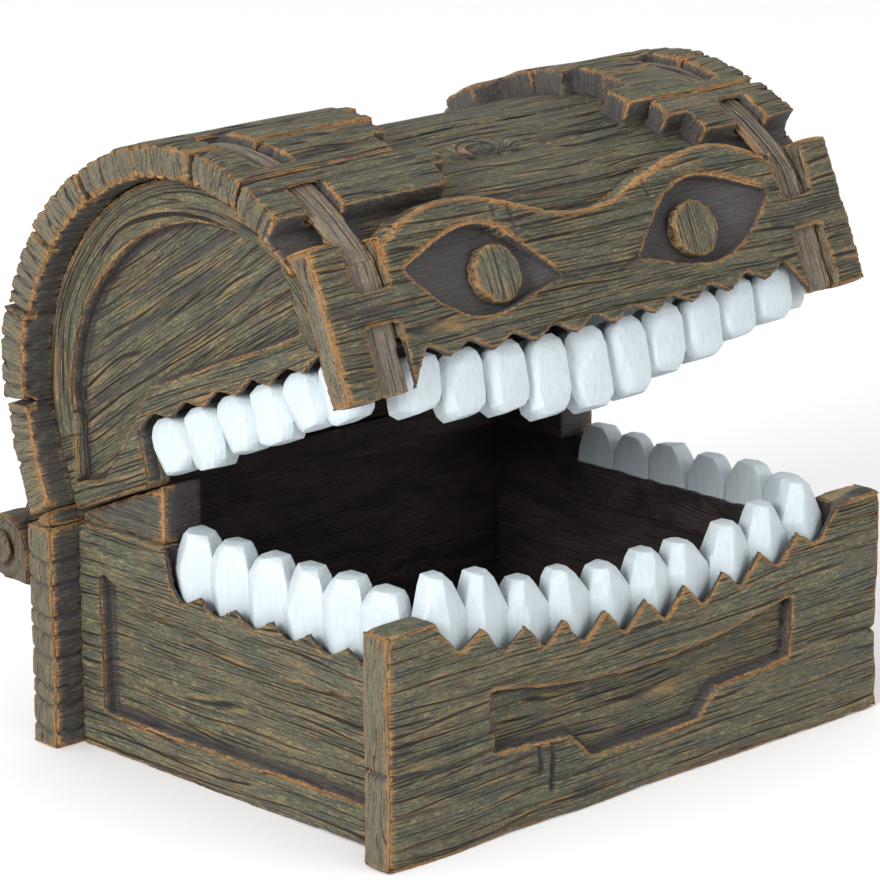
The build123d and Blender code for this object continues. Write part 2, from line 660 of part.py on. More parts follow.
def left_hinge_base_leaf():
    """Leaf on the back board with a knuckle at each end."""
    leaf_back = BACK_Y + LEAF_T
    leaf_top = HINGE_Z - KNUCKLE_R - KNUCKLE_GAP
    leaf = block(*LEAF_X, BACK_Y, leaf_back, HINGE_Z - LEAF_FOOT, leaf_top)
    foot = [(BACK_Y, leaf_top), (leaf_back, leaf_top), (leaf_back, HINGE_Z), (BACK_Y, HINGE_Z)]
    knuckle = knuckle_face(foot)
    leaf += along_x(knuckle, -HALF_W, LID_KNUCKLE[0] - KNUCKLE_GAP)
    return leaf + along_x(knuckle, LID_KNUCKLE[1] + KNUCKLE_GAP, -HINGE_INNER)


def lid_wall(rise, stand_off):
    """Where a point of the lid's rear wall stands: rise over the rim, stand_off behind."""
    turn = radians(JAW)
    y = HEEL_Y + stand_off * cos(turn) + rise * sin(turn)
    z = HEEL_Z - stand_off * sin(turn) + rise * cos(turn)
    return (y, z)


def wall_strip(low, high, near, far):
    """Rectangle on the lid's rear wall, between two rises and two stand-offs."""
    return [lid_wall(low, near), lid_wall(high, near), lid_wall(high, far), lid_wall(low, far)]


def left_hinge_lid_leaf():
    """Leaf on the lid's rear wall with an arm that reaches back to its knuckle."""
    plate = polygon(wall_strip(LID_LEAF_FOOT, LID_LEAF_TOP, 0, LEAF_T))
    arm = knuckle_face(wall_strip(ARM_FOOT, ARM_TOP, ARM_ROOT, LEAF_T))
    return along_x(plate, *LEAF_X) + along_x(arm, *LID_KNUCKLE)


def left_hinge_pin():
    """Pin through the three knuckles, headed at both ends."""
    outer_end, inner_end = -HALF_W - FIT, -HINGE_INNER + FIT
    pin = along_x(Pos(HINGE_Y, HINGE_Z) * Circle(PIN_R), outer_end, inner_end)
    head = Pos(HINGE_Y, HINGE_Z) * Circle(PIN_HEAD_R)
    pin += along_x(head, outer_end - PIN_HEAD_T, outer_end)
    return pin + along_x(head, inner_end, inner_end + PIN_HEAD_T)


def single_pieces():
    """Pieces that have no twin on the other side."""
    pieces = {
        "base_front_board": base_front_board(),
        "base_back_board": base_back_board(),
        "base_floor": base_floor(),
        "rear_sill": rear_sill(),
        "lower_front_gum": lower_front_gum(),
        "lower_front_teeth": lower_front_teeth(),
        "lid_front_board": on_base(lid_front_board()),
        "lid_brow_backing": on_base(lid_brow_backing()),
        "left_eye_disc": on_base(eye_disc(-1)),
        "right_eye_disc": on_base(eye_disc(1)),
        "upper_front_gum": on_base(upper_front_gum()),
        "upper_front_teeth": on_base(upper_front_teeth()),
    }
    for index in range(len(STAVE_EDGES) - 1):
        pieces[f"lid_stave_{index + 1}"] = on_base(stave(index))
    return pieces


def left_pieces():
    """Left-hand pieces, by a name with a place for the side."""
    return {
        "base_{}_end": base_left_end(),
        "{}_cheek": left_cheek(),
        "lower_{}_gum": lower_left_gum(),
        "lower_{}_teeth": lower_left_teeth(),
        "{}_hinge_base_leaf": left_hinge_base_leaf(),
        "{}_hinge_lid_leaf": left_hinge_lid_leaf(),
        "{}_hinge_pin": left_hinge_pin(),
        "lid_{}_end": on_base(lid_left_end()),
        "upper_{}_gum": on_base(upper_left_gum()),
        "upper_{}_teeth": on_base(upper_left_teeth()),
        "{}_strap": on_base(left_strap()),
    }


def save(name, shape):
    whole = Compound(children=shape) if isinstance(shape, list) else shape
    export_step(whole, f"parts/{name}.step")


def main():
    os.makedirs("parts", exist_ok=True)
    for name, shape in single_pieces().items():
        save(name, shape)
    for name, shape in left_pieces().items():
        save(name.format("left"), shape)
        save(name.format("right"), right_of(shape))


main()
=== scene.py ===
"""Looks of a toothed wooden chest: carved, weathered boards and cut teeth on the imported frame."""

import json
import math

import bmesh
import bpy
import numpy as np
from mathutils import Matrix, Vector


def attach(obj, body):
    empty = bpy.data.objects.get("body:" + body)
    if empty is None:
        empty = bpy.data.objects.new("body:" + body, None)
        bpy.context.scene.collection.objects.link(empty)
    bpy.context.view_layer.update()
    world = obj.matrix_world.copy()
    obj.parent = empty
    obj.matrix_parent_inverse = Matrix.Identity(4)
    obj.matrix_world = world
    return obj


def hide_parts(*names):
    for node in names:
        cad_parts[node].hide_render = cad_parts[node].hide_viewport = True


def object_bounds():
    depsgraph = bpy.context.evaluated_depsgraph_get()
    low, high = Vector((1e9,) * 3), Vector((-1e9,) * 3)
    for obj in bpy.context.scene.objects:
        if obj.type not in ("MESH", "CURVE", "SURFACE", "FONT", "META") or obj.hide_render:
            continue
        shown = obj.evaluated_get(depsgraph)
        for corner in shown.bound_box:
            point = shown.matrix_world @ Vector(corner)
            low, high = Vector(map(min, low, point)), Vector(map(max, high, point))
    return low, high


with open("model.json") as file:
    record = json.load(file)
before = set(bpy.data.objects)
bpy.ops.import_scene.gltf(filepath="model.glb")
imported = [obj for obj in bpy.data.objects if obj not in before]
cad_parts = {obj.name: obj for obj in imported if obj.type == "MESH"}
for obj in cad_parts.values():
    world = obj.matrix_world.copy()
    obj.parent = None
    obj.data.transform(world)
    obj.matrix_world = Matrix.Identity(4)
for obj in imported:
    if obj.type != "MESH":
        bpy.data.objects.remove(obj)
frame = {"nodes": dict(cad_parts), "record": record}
NODES = frame["nodes"]
BODIES = frame["record"]["behaviour"]["bodies"]
BODY_OF = {node: body for body, members in BODIES.items() for node in members}
SCENE = bpy.context.scene
MM = 0.001

# Sizes of the chest that the carving follows, in millimetres, and the tilt of its lid
JAW = math.radians(22.65)
HEEL_Y, HEEL_Z = 59.25, 57.7
FRONT_Y, INNER_FRONT_Y, INNER_BACK_Y = -63.25, -54.25, 53.75
END_X, INNER_X, FLOOR_T = 73.0, 65.0, 5.0
LID_HALF_W, LID_END_X, LID_INNER_X = 83.5, 75.5, 67.5
LID_FRONT_Y, LID_INNER_Y = -60.1, -53.1
ARCH_R, ARCH_Z, SHELL_R, ARCH_IN = 64.3, 7.85, 57.9, 56.0
HINGE_POINT = frame["record"]["behaviour"]["joints"][0]["pos_m"]
HINGE_Y, HINGE_Z = HINGE_POINT[1] / MM, HINGE_POINT[2] / MM

# Fineness of the dense copies, depth of the grain, pitch of its cracks, and how near a wall counts as on it
VOXEL = 0.5
GRAIN_DEPTH = 0.36
CRACK_PITCH = 4.4
SKIN = 0.4

SIDES = ("left", "right")
X_AXIS, Y_AXIS, NO_AXIS = np.array([1.0, 0, 0]), np.array([0, 1.0, 0]), np.zeros(3)


def before_and_after(stage, sizes):
    """Note the box of everything that is shown, before or after the dressing."""
    low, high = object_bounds()
    sizes[stage] = {"low": list(low), "high": list(high)}


SIZES = {}
before_and_after("before", SIZES)

# Noise and small helpers


def lattice(ix, iy, iz, seed):
    """A fixed random number from -1 to 1 at each whole point."""
    h = (ix * 374761393 + iy * 668265263 + iz * 1274126177 + seed * 144665) & 0xFFFFFFFF
    h = ((h ^ (h >> 13)) * 1103515245) & 0xFFFFFFFF
    h = ((h ^ (h >> 15)) * 668265263) & 0xFFFFFFFF
    return ((h ^ (h >> 16)) & 0xFFFFFF) / 0x7FFFFF - 1.0


def noise(x, y, z, seed):
    """Smooth noise from -1 to 1 with cells one unit wide."""
    point = np.stack([x, y, z], axis=1)
    cell = np.floor(point).astype(np.int64)
    part = point - cell
    part = part * part * (3 - 2 * part)
    total = np.zeros(len(point))
    for corner in range(8):
        step = np.array([corner & 1, corner >> 1 & 1, corner >> 2 & 1])
        weight = np.where(step, part, 1 - part).prod(axis=1)
        total += weight * lattice(*(cell + step).T, seed)
    return total


def ramp(value, low, high):
    """0 up to low, 1 from high on, with a soft step between."""
    share = np.clip((value - low) / (high - low), 0, 1)
    return share * share * (3 - 2 * share)


def furrow(p, q, start, end, width):
    """1 on the line from start to end in the (p, q) plane, falling to 0 over width."""
    start, end = np.array(start, float), np.array(end, float)
    run = end - start
    share = np.clip(((p - start[0]) * run[0] + (q - start[1]) * run[1]) / (run @ run), 0, 1)
    gap = np.hypot(p - start[0] - share * run[0], q - start[1] - share * run[1])
    return np.exp(-((gap / width) ** 2))


def furrows(p, q, cuts):
    """Sum of furrows, each given as (start, end, width, depth)."""
    return sum(depth * furrow(p, q, start, end, width) for start, end, width, depth in cuts)


def lid_coordinates(co):
    """Depth and height of points in the lid's own frame."""
    dy, dz = co[:, 1] - HEEL_Y, co[:, 2] - HEEL_Z
    return ARCH_R + math.cos(JAW) * dy - math.sin(JAW) * dz, math.sin(JAW) * dy + math.cos(JAW) * dz


def arch_coordinates(co):
    """Angle in degrees and radius of points on the lid's arch."""
    y, z = lid_coordinates(co)
    angle = np.degrees(np.arctan2(z - ARCH_Z, -y))
    return np.where(angle < -90, angle + 360, angle), np.hypot(y, z - ARCH_Z)


# Carving


class Carving:
    """A dense copy of one board, with what its grain and paint are worked out from."""

    def __init__(self, node, voxel=VOXEL):
        copy = bpy.data.objects.new("dense", NODES[node].data.copy())
        SCENE.collection.objects.link(copy)
        remesh = copy.modifiers.new("dense", "REMESH")
        remesh.mode = "VOXEL"
        remesh.voxel_size = voxel * MM
        graph = bpy.context.evaluated_depsgraph_get()
        self.mesh = bpy.data.meshes.new_from_object(copy.evaluated_get(graph))
        bpy.data.objects.remove(copy)
        self.body = BODY_OF[node]
        count = len(self.mesh.vertices)
        self.co = np.empty(count * 3, np.float32)
        self.mesh.vertices.foreach_get("co", self.co)
        self.co = self.co.reshape(-1, 3).astype(float) / MM
        edges = np.empty(len(self.mesh.edges) * 2, np.int32)
        self.mesh.edges.foreach_get("vertices", edges)
        self.ends = edges.reshape(-1, 2).T
        self.degree = np.bincount(edges, minlength=count).astype(float)
        self.normal = self.normals()
        rounds = max(2, round(2.2 / voxel**2))
        fine = self.smoothed(self.co, rounds)
        bulge = ((self.co - fine) * self.normal).sum(axis=1)
        broad = ((self.co - self.smoothed(fine, 2 * rounds)) * self.normal).sum(axis=1)
        self.edge = np.clip(bulge / 0.28, 0, 1)
        self.cave = np.clip(-bulge / 0.36, 0, 1)
        self.shoulder = np.clip(broad / 0.7, 0, 1)
        self.seed = sum(ord(letter) * (i + 3) for i, letter in enumerate(node)) % 9973

    def normals(self):
        """Normals of the surface, one row per vertex."""
        flat = np.empty(len(self.mesh.vertices) * 3, np.float32)
        self.mesh.vertices.foreach_get("normal", flat)
        return flat.reshape(-1, 3).astype(float)

    def smoothed(self, out, times):
        """Points of the surface after its edges and corners are rounded off."""
        a, b = self.ends
        for _ in range(times):
            sums = np.empty_like(out)
            for axis in range(3):
                column = out[:, axis]
                sums[:, axis] = np.bincount(a, column[b], len(out)) + np.bincount(b, column[a], len(out))
            out = sums / self.degree[:, None]
        return out

    def store(self, name, kind, values):
        """Keep values per vertex for the material to read."""
        flat = np.ascontiguousarray(values, np.float32).ravel()
        layer = self.mesh.attributes.new(name, kind, "POINT")
        layer.data.foreach_set("color" if kind == "FLOAT_COLOR" else "vector", flat)


def grain(u, v, w, seed, knots):
    """Height of weathered grain, the swaying line of it on which a point lies, and the rings of knots."""
    sway = 0.8 * noise(u / 50, v / 11, w / 16, seed) + 0.15 * noise(u / 14, v / 4, w / 9, seed + 1)
    heart, rings, around = np.zeros_like(u), np.zeros_like(u), np.zeros_like(u)
    for knot_u, knot_v, size in knots:
        du, dv = (u - knot_u) / (2.2 * size), (v - knot_v) / size
        away = np.hypot(du, dv)
        sway -= size * 1.1 * dv / (away + 0.3) * np.exp(-0.2 * away * away)
        around = np.where(away < 3, knot_v + 1.6 * size * away, around)
        heart = np.maximum(heart, np.exp(-((away / 1.2) ** 4)))
        rings += np.exp(-(((away - 0.42) / 0.17) ** 2)) + 0.7 * np.exp(-(((away - 0.92) / 0.15) ** 2))
    across = (v + sway) * (1 - heart) + around * heart
    ridges = noise(u / 30, across / 1.5, w / 7, seed + 2)
    fibres = noise(u / 12, across / 0.8, w / 4, seed + 3)
    place = across / CRACK_PITCH + 0.5 * noise(u / 60, across / 7, w / 15, seed + 4)
    number = np.round(place)
    open_here = ramp(noise(u / 28, number * 0.73, w / 20, seed + 5), -0.15, 0.4)
    crack = np.exp(-(((place - number) * CRACK_PITCH / 0.45) ** 2)) * open_here
    height = 0.55 * ridges + 0.4 * fibres
    return height * (1 - heart) + 0.5 * heart - 1.8 * crack * (1 - heart), across, rings


def end_grain(along, across, u, seed):
    """Wrinkled and pitted end of a board, its wrinkles drawn out along one of its sides."""
    pits = noise(across / 1.2, along / 3.6, u / 4, seed + 6)
    specks = noise(across / 0.7, along / 1.8, u / 2, seed + 7)
    return 0.45 * pits + 0.4 * specks


def finish_board(piece, coordinates, axis, depth=GRAIN_DEPTH, knots=(), **masks):
    """Carve the grain into a dense board, wear its edges, and store what its paint reads.

    coordinates run along, across and into the grain, and axis is the way the grain runs.
    Masks, from 0 to 1 unless said: inside (dark inner faces), hollow (faces in recesses, smoothed and given
    painted shade), cuts (carved lines, in millimetres), bare (edges worn round), wear (paint worn off edges),
    dim (painted shade that darkens a whole face), shift (a move in millimetres), ends (coordinates of end
    grain).
    """
    u, v, w = coordinates
    co, normal, seed = piece.co, piece.normal, piece.seed
    none = np.zeros(len(co))
    inside, hollow, cuts, bare = (masks.get(key, none) for key in ("inside", "hollow", "cuts", "bare"))
    butt = ramp(np.abs((normal * axis).sum(axis=1)), 0.6, 0.85) * (1 - hollow)
    height, across, rings = grain(u, v, w, seed, knots)
    cuts = np.maximum(cuts, 0.8 * rings * (1 - butt) * (1 - inside))
    end_along, end_across = masks.get("ends", (v, w))
    height = height * (1 - butt) + end_grain(end_along, end_across, u, seed) * butt
    chips = np.clip(noise(co[:, 0] / 4.5, co[:, 1] / 4.5, co[:, 2] / 4.5, seed + 8) * 1.6 - 0.1, 0, 1)
    nicks = np.clip(noise(co[:, 0] / 1.6, co[:, 1] / 1.6, co[:, 2] / 1.6, seed + 9) - 0.15, 0, 1)
    smooth = np.maximum(np.maximum(0.75 * hollow, 0.5 * inside), 0.8 * np.clip(cuts, 0, 1))
    push = depth * height * (1 - smooth) - cuts
    chipped = (0.75 * chips + 0.5 * nicks) * (1 - 0.7 * bare)
    push -= piece.edge * (0.1 + chipped) + (0.3 + 0.9 * bare) * piece.shoulder
    moved = co + normal * push[:, None] + masks.get("shift", 0.0)
    sag = np.stack([noise(co[:, 0] / 21, co[:, 1] / 21, co[:, 2] / 21, 70 + k) for k in range(3)], axis=1)
    from_hinge = np.hypot(co[:, 1] - HINGE_Y, co[:, 2] - HINGE_Z)
    moved += 0.4 * sag * ramp(from_hinge, 8.5, 15)[:, None]
    if piece.body == "base":
        moved[:, 2] = np.maximum(moved[:, 2], 0)
    piece.mesh.vertices.foreach_set("co", (moved * MM).astype(np.float32).ravel())
    # Painted shade can darken a whole face here, through less rise
    rise = np.clip(0.5 + 0.55 * height - 0.9 * cuts - masks.get("painted_shade", 0.0), 0, 1)
    one = np.ones(len(co))
    worn = np.clip(piece.edge * masks.get("wear", 1.0) + 2.0 * bare * piece.shoulder, 0, 1) * (1 - inside)
    piece.store("look", "FLOAT_COLOR", np.stack([rise, worn, piece.cave, one], axis=1))
    # Where painted shade goes: hollows and carved cuts
    sunk = np.clip(hollow + 0.8 * cuts, 0, 1)
    piece.store("tone", "FLOAT_COLOR", np.stack([inside, sunk, butt, one], axis=1))
    at_end = butt > 0.5
    along = np.where(at_end, 3.0 * end_along, u) + seed % 97
    across = np.where(at_end, 1.3 * end_across, across) + seed % 61
    piece.store("grain", "FLOAT_VECTOR", np.stack([along, across, np.where(at_end, u, w)], axis=1))
    piece.mesh.shade_smooth()


def hand_over(mesh, node, material):
    """Show a mesh in place of its CAD node."""
    mesh.materials.clear()
    mesh.materials.append(material)
    shown = bpy.data.objects.new("look_" + node, mesh)
    SCENE.collection.objects.link(shown)
    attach(shown, BODY_OF[node])
    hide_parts(node)


# Materials


class Paint:
    """A procedural material that reads the carved attributes."""

    def __init__(self, name):
        self.material = bpy.data.materials.new(name)
        self.material.use_nodes = True
        self.tree = self.material.node_tree
        self.shader = self.tree.nodes["Principled BSDF"]

    def node(self, kind, sockets, **settings):
        """A new node with its settings made and its sockets fed."""
        made = self.tree.nodes.new(kind)
        for key, value in settings.items():
            setattr(made, key, value)
        for key, value in sockets.items():
            self.feed(made.inputs[key], value)
        return made

    def feed(self, socket, value):
        """Link a socket to another, or set its value."""
        if isinstance(value, bpy.types.NodeSocket):
            self.tree.links.new(value, socket)
        else:
            socket.default_value = value

    def channels(self, name):
        """The three masks of a stored attribute."""
        read = self.node("ShaderNodeAttribute", {}, attribute_name=name)
        return self.node("ShaderNodeSeparateColor", {"Color": read.outputs["Color"]}).outputs

    def grain(self, scale, shift=0.0):
        """Coordinates along, across and into the grain, stretched by scale."""
        read = self.node("ShaderNodeAttribute", {}, attribute_name="grain").outputs["Vector"]
        return self.stretched(read, scale, shift)

    def stretched(self, vector, scale, shift=0.0):
        """Coordinates times scale, moved on by shift."""
        sockets = {"Vector": vector, "Scale": scale, "Location": (shift,) * 3}
        return self.node("ShaderNodeMapping", sockets).outputs[0]

    def noise(self, vector, detail, low, high):
        """Noise stretched so that low becomes 0 and high becomes 1."""
        sockets = {"Vector": vector, "Scale": 1.0, "Detail": detail, "Roughness": 0.6}
        made = self.node("ShaderNodeTexNoise", sockets)
        return self.ramp(made.outputs[0], low, high)

    def open_math(self, operation, a, b):
        """Arithmetic whose result may lie outside 0 to 1."""
        return self.node("ShaderNodeMath", {0: a, 1: b}, operation=operation).outputs[0]

    def grooves(self, pitch, width, shift):
        """0 in narrow grooves along the grain that begin and fade here and there, 1 between them."""
        read = self.node("ShaderNodeAttribute", {}, attribute_name="grain").outputs["Vector"]
        along, across = self.node("ShaderNodeSeparateXYZ", {"Vector": read}).outputs[:2]
        sockets = {"Vector": self.grain((0.02, 0.14, 0.06), shift), "Scale": 1.0, "Detail": 1.0}
        drift = self.node("ShaderNodeTexNoise", sockets).outputs[0]
        place = self.open_math("DIVIDE", across, pitch)
        place = self.open_math("ADD", place, self.open_math("MULTIPLY", drift, 2.4))
        number = self.open_math("MULTIPLY", self.open_math("ROUND", place, 0.0), 5.3)
        sockets = {0: self.open_math("MULTIPLY", along, 0.04), 1: number, 2: shift}
        spot = self.node("ShaderNodeCombineXYZ", sockets).outputs[0]
        strength = self.noise(spot, 1.0, 0.36, 0.62)
        away = self.ramp(self.open_math("PINGPONG", place, 0.5), 0.0, width / pitch)
        return self.rest(self.times(strength, self.rest(away)))

    def ramp(self, value, low, high):
        """0 up to low, 1 from high on, with a soft step between."""
        sockets = {"Value": value, "From Min": low, "From Max": high}
        return self.node("ShaderNodeMapRange", sockets, interpolation_type="SMOOTHSTEP").outputs[0]

    def math(self, operation, a, b):
        """Arithmetic whose result is kept from 0 to 1."""
        return self.node("ShaderNodeMath", {0: a, 1: b}, operation=operation, use_clamp=True).outputs[0]

    def times(self, a, b):
        return self.math("MULTIPLY", a, b)

    def plus(self, a, b):
        return self.math("ADD", a, b)

    def rest(self, a):
        """What a leaves of 1."""
        return self.math("SUBTRACT", 1.0, a)

    def mix(self, share, a, b):
        """a where share is 0 and b where it is 1."""
        made = self.node("ShaderNodeMix", {0: share}, data_type="RGBA")
        self.feed(made.inputs[6], a)
        self.feed(made.inputs[7], b)
        return made.outputs[2]

    def done(self, colour, roughness, height, bump, specular=0.3):
        """The finished material, with its fine relief as a bump."""
        sockets = {"Height": height, "Strength": bump, "Distance": 0.0009}
        relief = self.node("ShaderNodeBump", sockets).outputs[0]
        self.feed(self.shader.inputs["Base Color"], colour)
        self.feed(self.shader.inputs["Roughness"], roughness)
        self.feed(self.shader.inputs["Specular IOR Level"], specular)
        self.feed(self.shader.inputs["Normal"], relief)
        return self.material


def linear(red, green, blue):
    """A colour given as it looks on screen, 0 to 255, for a shader."""
    parts = [c / 255 for c in (red, green, blue)]
    return (*[c / 12.92 if c < 0.04045 else ((c + 0.055) / 1.055) ** 2.4 for c in parts], 1.0)


def grey(value):
    """An even grey for a mix."""
    return (value,) * 4


def wood_paint(name, groove, body, dry, worn, shade, dry_amount=1.0):
    """Dark wash in the grain, a dry-brushed lighter coat on its ridges, bare worn edges."""
    paint = Paint(name)
    rise, edge, cave = paint.channels("look")[:3]
    inside, hollow, butt = paint.channels("tone")[:3]

    # Grooves along the grain, and noise from fine strokes to broad patches
    seam = paint.grooves(3.3, 0.42, 1.0)
    beside = paint.grooves(3.3, 1.2, 1.0)
    hair = paint.grooves(0.9, 0.3, 7.0)
    fibre = paint.noise(paint.grain((0.2, 3.0, 0.5)), 3.0, 0.34, 0.66)
    thread = paint.noise(paint.grain((0.4, 2.6, 0.9), 9.0), 4.0, 0.46, 0.64)
    cloud = paint.noise(paint.grain((0.05, 0.2, 0.1), 3.0), 2.0, 0.3, 0.7)
    patch = paint.noise(paint.grain((0.09, 0.45, 0.2), 11.0), 3.0, 0.4, 0.64)
    speck = paint.noise(paint.grain((1.3, 1.5, 1.4), 5.0), 3.0, 0.46, 0.64)
    pit = paint.noise(paint.grain((0.5, 1.5, 1.2), 2.0), 2.0, 0.28, 0.42)

    # How deep a point lies between the ridges
    plain = paint.times(seam, paint.mix(hair, grey(0.3), grey(1.0)))
    plain = paint.times(plain, paint.mix(butt, grey(1.0), paint.mix(pit, grey(0.4), grey(1.0))))
    stroke = paint.plus(paint.times(thread, 0.6), paint.times(speck, 0.4))
    depth = paint.plus(paint.times(rise, 0.3), paint.times(plain, 0.5))
    depth = paint.plus(depth, paint.times(fibre, 0.2))
    depth = paint.plus(depth, paint.times(butt, 0.1))

    # Wash and body coat, then dry-brushed crests and the lit rims of grooves
    coat = paint.mix(cloud, body, paint.mix(0.11, body, worn))
    colour = paint.mix(paint.ramp(depth, 0.22, 0.8), groove, paint.mix(butt, coat, linear(105, 99, 87)))
    crest = paint.times(paint.ramp(depth, 0.4, 0.72), stroke)
    crest = paint.times(crest, paint.mix(patch, grey(0.5), grey(1.0)))
    colour = paint.mix(paint.times(crest, dry_amount), colour, dry)
    lit = paint.times(paint.rest(beside), paint.ramp(seam, 0.5, 1.0))
    lit = paint.times(lit, paint.times(patch, dry_amount))
    colour = paint.mix(paint.times(lit, 0.75), colour, paint.mix(0.35, worn, dry))

    # Shade in corners and hollows, bare wood on edges, dark inner faces
    colour = paint.mix(paint.times(paint.ramp(cave, 0.15, 0.8), 0.85), colour, shade)
    smooth_shade = paint.mix(cloud, shade, linear(56, 57, 60))
    smooth_shade = paint.mix(paint.times(stroke, 0.42), smooth_shade, linear(92, 88, 84))
    colour = paint.mix(paint.times(hollow, 0.92), colour, smooth_shade)
    bare = paint.plus(paint.ramp(edge, 0.4, 0.85), paint.times(stroke, paint.ramp(edge, 0.1, 0.4)))
    bare = paint.times(bare, paint.mix(cloud, grey(0.6), grey(1.0)))
    bare = paint.times(bare, paint.mix(speck, grey(0.65), grey(0.95)))
    colour = paint.mix(bare, colour, paint.mix(paint.times(stroke, 0.4), worn, dry))
    dark = paint.mix(cloud, linear(38, 34, 33), linear(68, 56, 56))
    colour = paint.mix(inside, colour, paint.mix(paint.times(stroke, 0.4), dark, linear(80, 68, 62)))

    # Gloss and fine relief
    rough = paint.mix(stroke, grey(0.62), grey(0.86))
    relief = paint.plus(paint.times(plain, 0.6), paint.times(fibre, 0.25))
    relief = paint.plus(relief, paint.times(stroke, 0.15))
    relief = paint.mix(paint.times(hollow, 0.8), relief, grey(0.5))
    return paint.done(colour, rough, relief, 1.0)


def tooth_paint():
    """White paint with faint brush strokes along each tooth and soft grey clouds."""
    paint = Paint("tooth_white")
    position = paint.node("ShaderNodeTexCoord", {}).outputs["Object"]
    stroke = paint.noise(paint.stretched(position, (1100.0, 1100.0, 120.0)), 2.0, 0.42, 0.72)
    cloud = paint.noise(paint.stretched(position, (160.0,) * 3), 2.0, 0.4, 0.75)
    colour = paint.mix(paint.times(stroke, 0.35), linear(182, 192, 196), linear(158, 171, 178))
    colour = paint.mix(paint.times(cloud, 0.25), colour, linear(170, 182, 189))
    return paint.done(colour, 0.5, stroke, 0.12, 0.3)


WOOD = wood_paint(
    "weathered_wood",
    groove=linear(34, 33, 30),
    body=linear(69, 74, 68),
    dry=linear(142, 137, 94),
    worn=linear(174, 121, 66),
    shade=linear(57, 50, 52),
)
STRAP_WOOD = wood_paint(
    "strap_wood",
    groove=linear(44, 42, 42),
    body=linear(102, 96, 88),
    dry=linear(150, 141, 118),
    worn=linear(166, 124, 74),
    shade=linear(62, 53, 56),
)
HINGE_WOOD = wood_paint(
    "hinge_wood",
    groove=linear(30, 29, 27),
    body=linear(60, 57, 50),
    dry=linear(100, 94, 66),
    worn=linear(140, 100, 58),
    shade=linear(54, 47, 50),
)
# Gum paint: its own dark grey, darkened further as painted shadow under the teeth
GUM_AND_SHADOW = wood_paint(
    "gum",
    groove=linear(22, 24, 28),
    body=linear(40, 43, 48),
    dry=linear(60, 64, 68),
    worn=linear(60, 64, 66),
    shade=linear(30, 31, 35),
    dry_amount=0.5,
)
TOOTH = tooth_paint()

# Boards of the base

# Ledges behind the lips, on which the teeth stand, and where the lips begin
LEDGE_FRONT_Y, LEDGE_BACK_Y, LEDGE_SIDE_X = -61.5, -50.0, 71.4
SIDE_LEDGE_Z, SIDE_LEDGE_END_Y = 39.0, 23.2
LIP_FOOT_Z = 36.0

# Lines on the front, in x and z: (start, end, width, depth)
NICKS = (((-34.8, 21), (-34.3, 12.3), 0.6, 1.7), ((-30.2, 20.6), (-30.8, 7.6), 0.65, 1.7))
FRONT_CRACKS = (
    ((-82, 22.4), (-62, 20.2), 0.55, 1.0),
    ((-82, 27.8), (-74, 27.2), 0.5, 0.7),
    ((-62, 20.2), (-20, 15.4), 0.45, 0.5),
    ((83, 20.6), (56, 22.4), 0.5, 0.7),
)

# Heights of the saw cuts across the rear posts
POST_CUTS = (4.2, 11.0, 15.2, 22.6, 28.4, 33.0, 40.8, 46.6)


def base_inside(co):
    """1 on the faces that look into the base's hollow, the tooth ledges among them."""
    x, y, z = np.abs(co[:, 0]), co[:, 1], co[:, 2]
    behind_front = y > INNER_FRONT_Y - SKIN
    cavity = (x < INNER_X + SKIN) & behind_front & (y < INNER_BACK_Y + SKIN) & (z > FLOOR_T - SKIN)
    front_ledge = (x < INNER_X + SKIN) & (y > LEDGE_FRONT_Y) & (y < LEDGE_BACK_Y) & (z > LIP_FOOT_Z)
    side_ledge = (x < LEDGE_SIDE_X) & behind_front & (y < SIDE_LEDGE_END_Y) & (z > SIDE_LEDGE_Z)
    return (cavity | front_ledge | side_ledge).astype(float)


def board_along_x(node, knots=(), cuts=None):
    """A board across the chest: front, back or sill."""
    piece = Carving(node)
    x, y, z = piece.co.T
    recess = (np.abs(x) < 70) & (y > FRONT_Y + 0.5) & (y < FRONT_Y + 2.8)
    step = (y > 40) * (np.abs(x) > END_X - 1) * ramp(-piece.normal[:, 1], 0.5, 0.8)
    masks = {
        "inside": base_inside(piece.co),
        # Painted shade in the sunk field and on the rear posts' step faces
        "hollow": np.maximum(0.85 * recess, 0.8 * step),
        "wear": np.where(recess & (z > LIP_FOOT_Z), 0.15, 1.0),
        "bare": 0.5 * ramp(np.abs(x), END_X + 4, END_X + 6),
    }
    if cuts:
        masks["cuts"] = cuts(piece)
    finish_board(piece, (x, z, y), X_AXIS, GRAIN_DEPTH, knots, **masks)
    hand_over(piece.mesh, node, WOOD)


def front_cuts(piece):
    """Two short knife nicks under the field, and worn cracks across the posts and round their ends."""
    x, y, z = piece.co.T
    facing = ramp(-piece.normal[:, 1], 0.2, 0.6) * (y < FRONT_Y + 1)
    cracks = 1.1 * np.clip(furrows(x, z, FRONT_CRACKS), 0, 1)
    left_end = furrow(y, z, (-63, 22.4), (-52, 23.0), 0.6) * (x < -79)
    right_end = furrow(y, z, (-63, 20.6), (-52, 20.2), 0.7) * (x > 78)
    return np.maximum(facing * np.maximum(furrows(x, z, NICKS), cracks), 1.4 * (left_end + right_end))


def back_cuts(piece):
    """Saw cuts across the rear posts."""
    x, y, z = piece.co.T
    cut = np.zeros_like(z)
    for height in POST_CUTS:
        slope = height + 0.12 * (y - 58)
        cut += np.exp(-(((z - slope - 0.5 * noise(x / 3, y / 3, z / 50, 31)) / 0.5) ** 2))
    return 0.8 * (np.abs(x) > END_X - 1) * np.clip(cut, 0, 1)


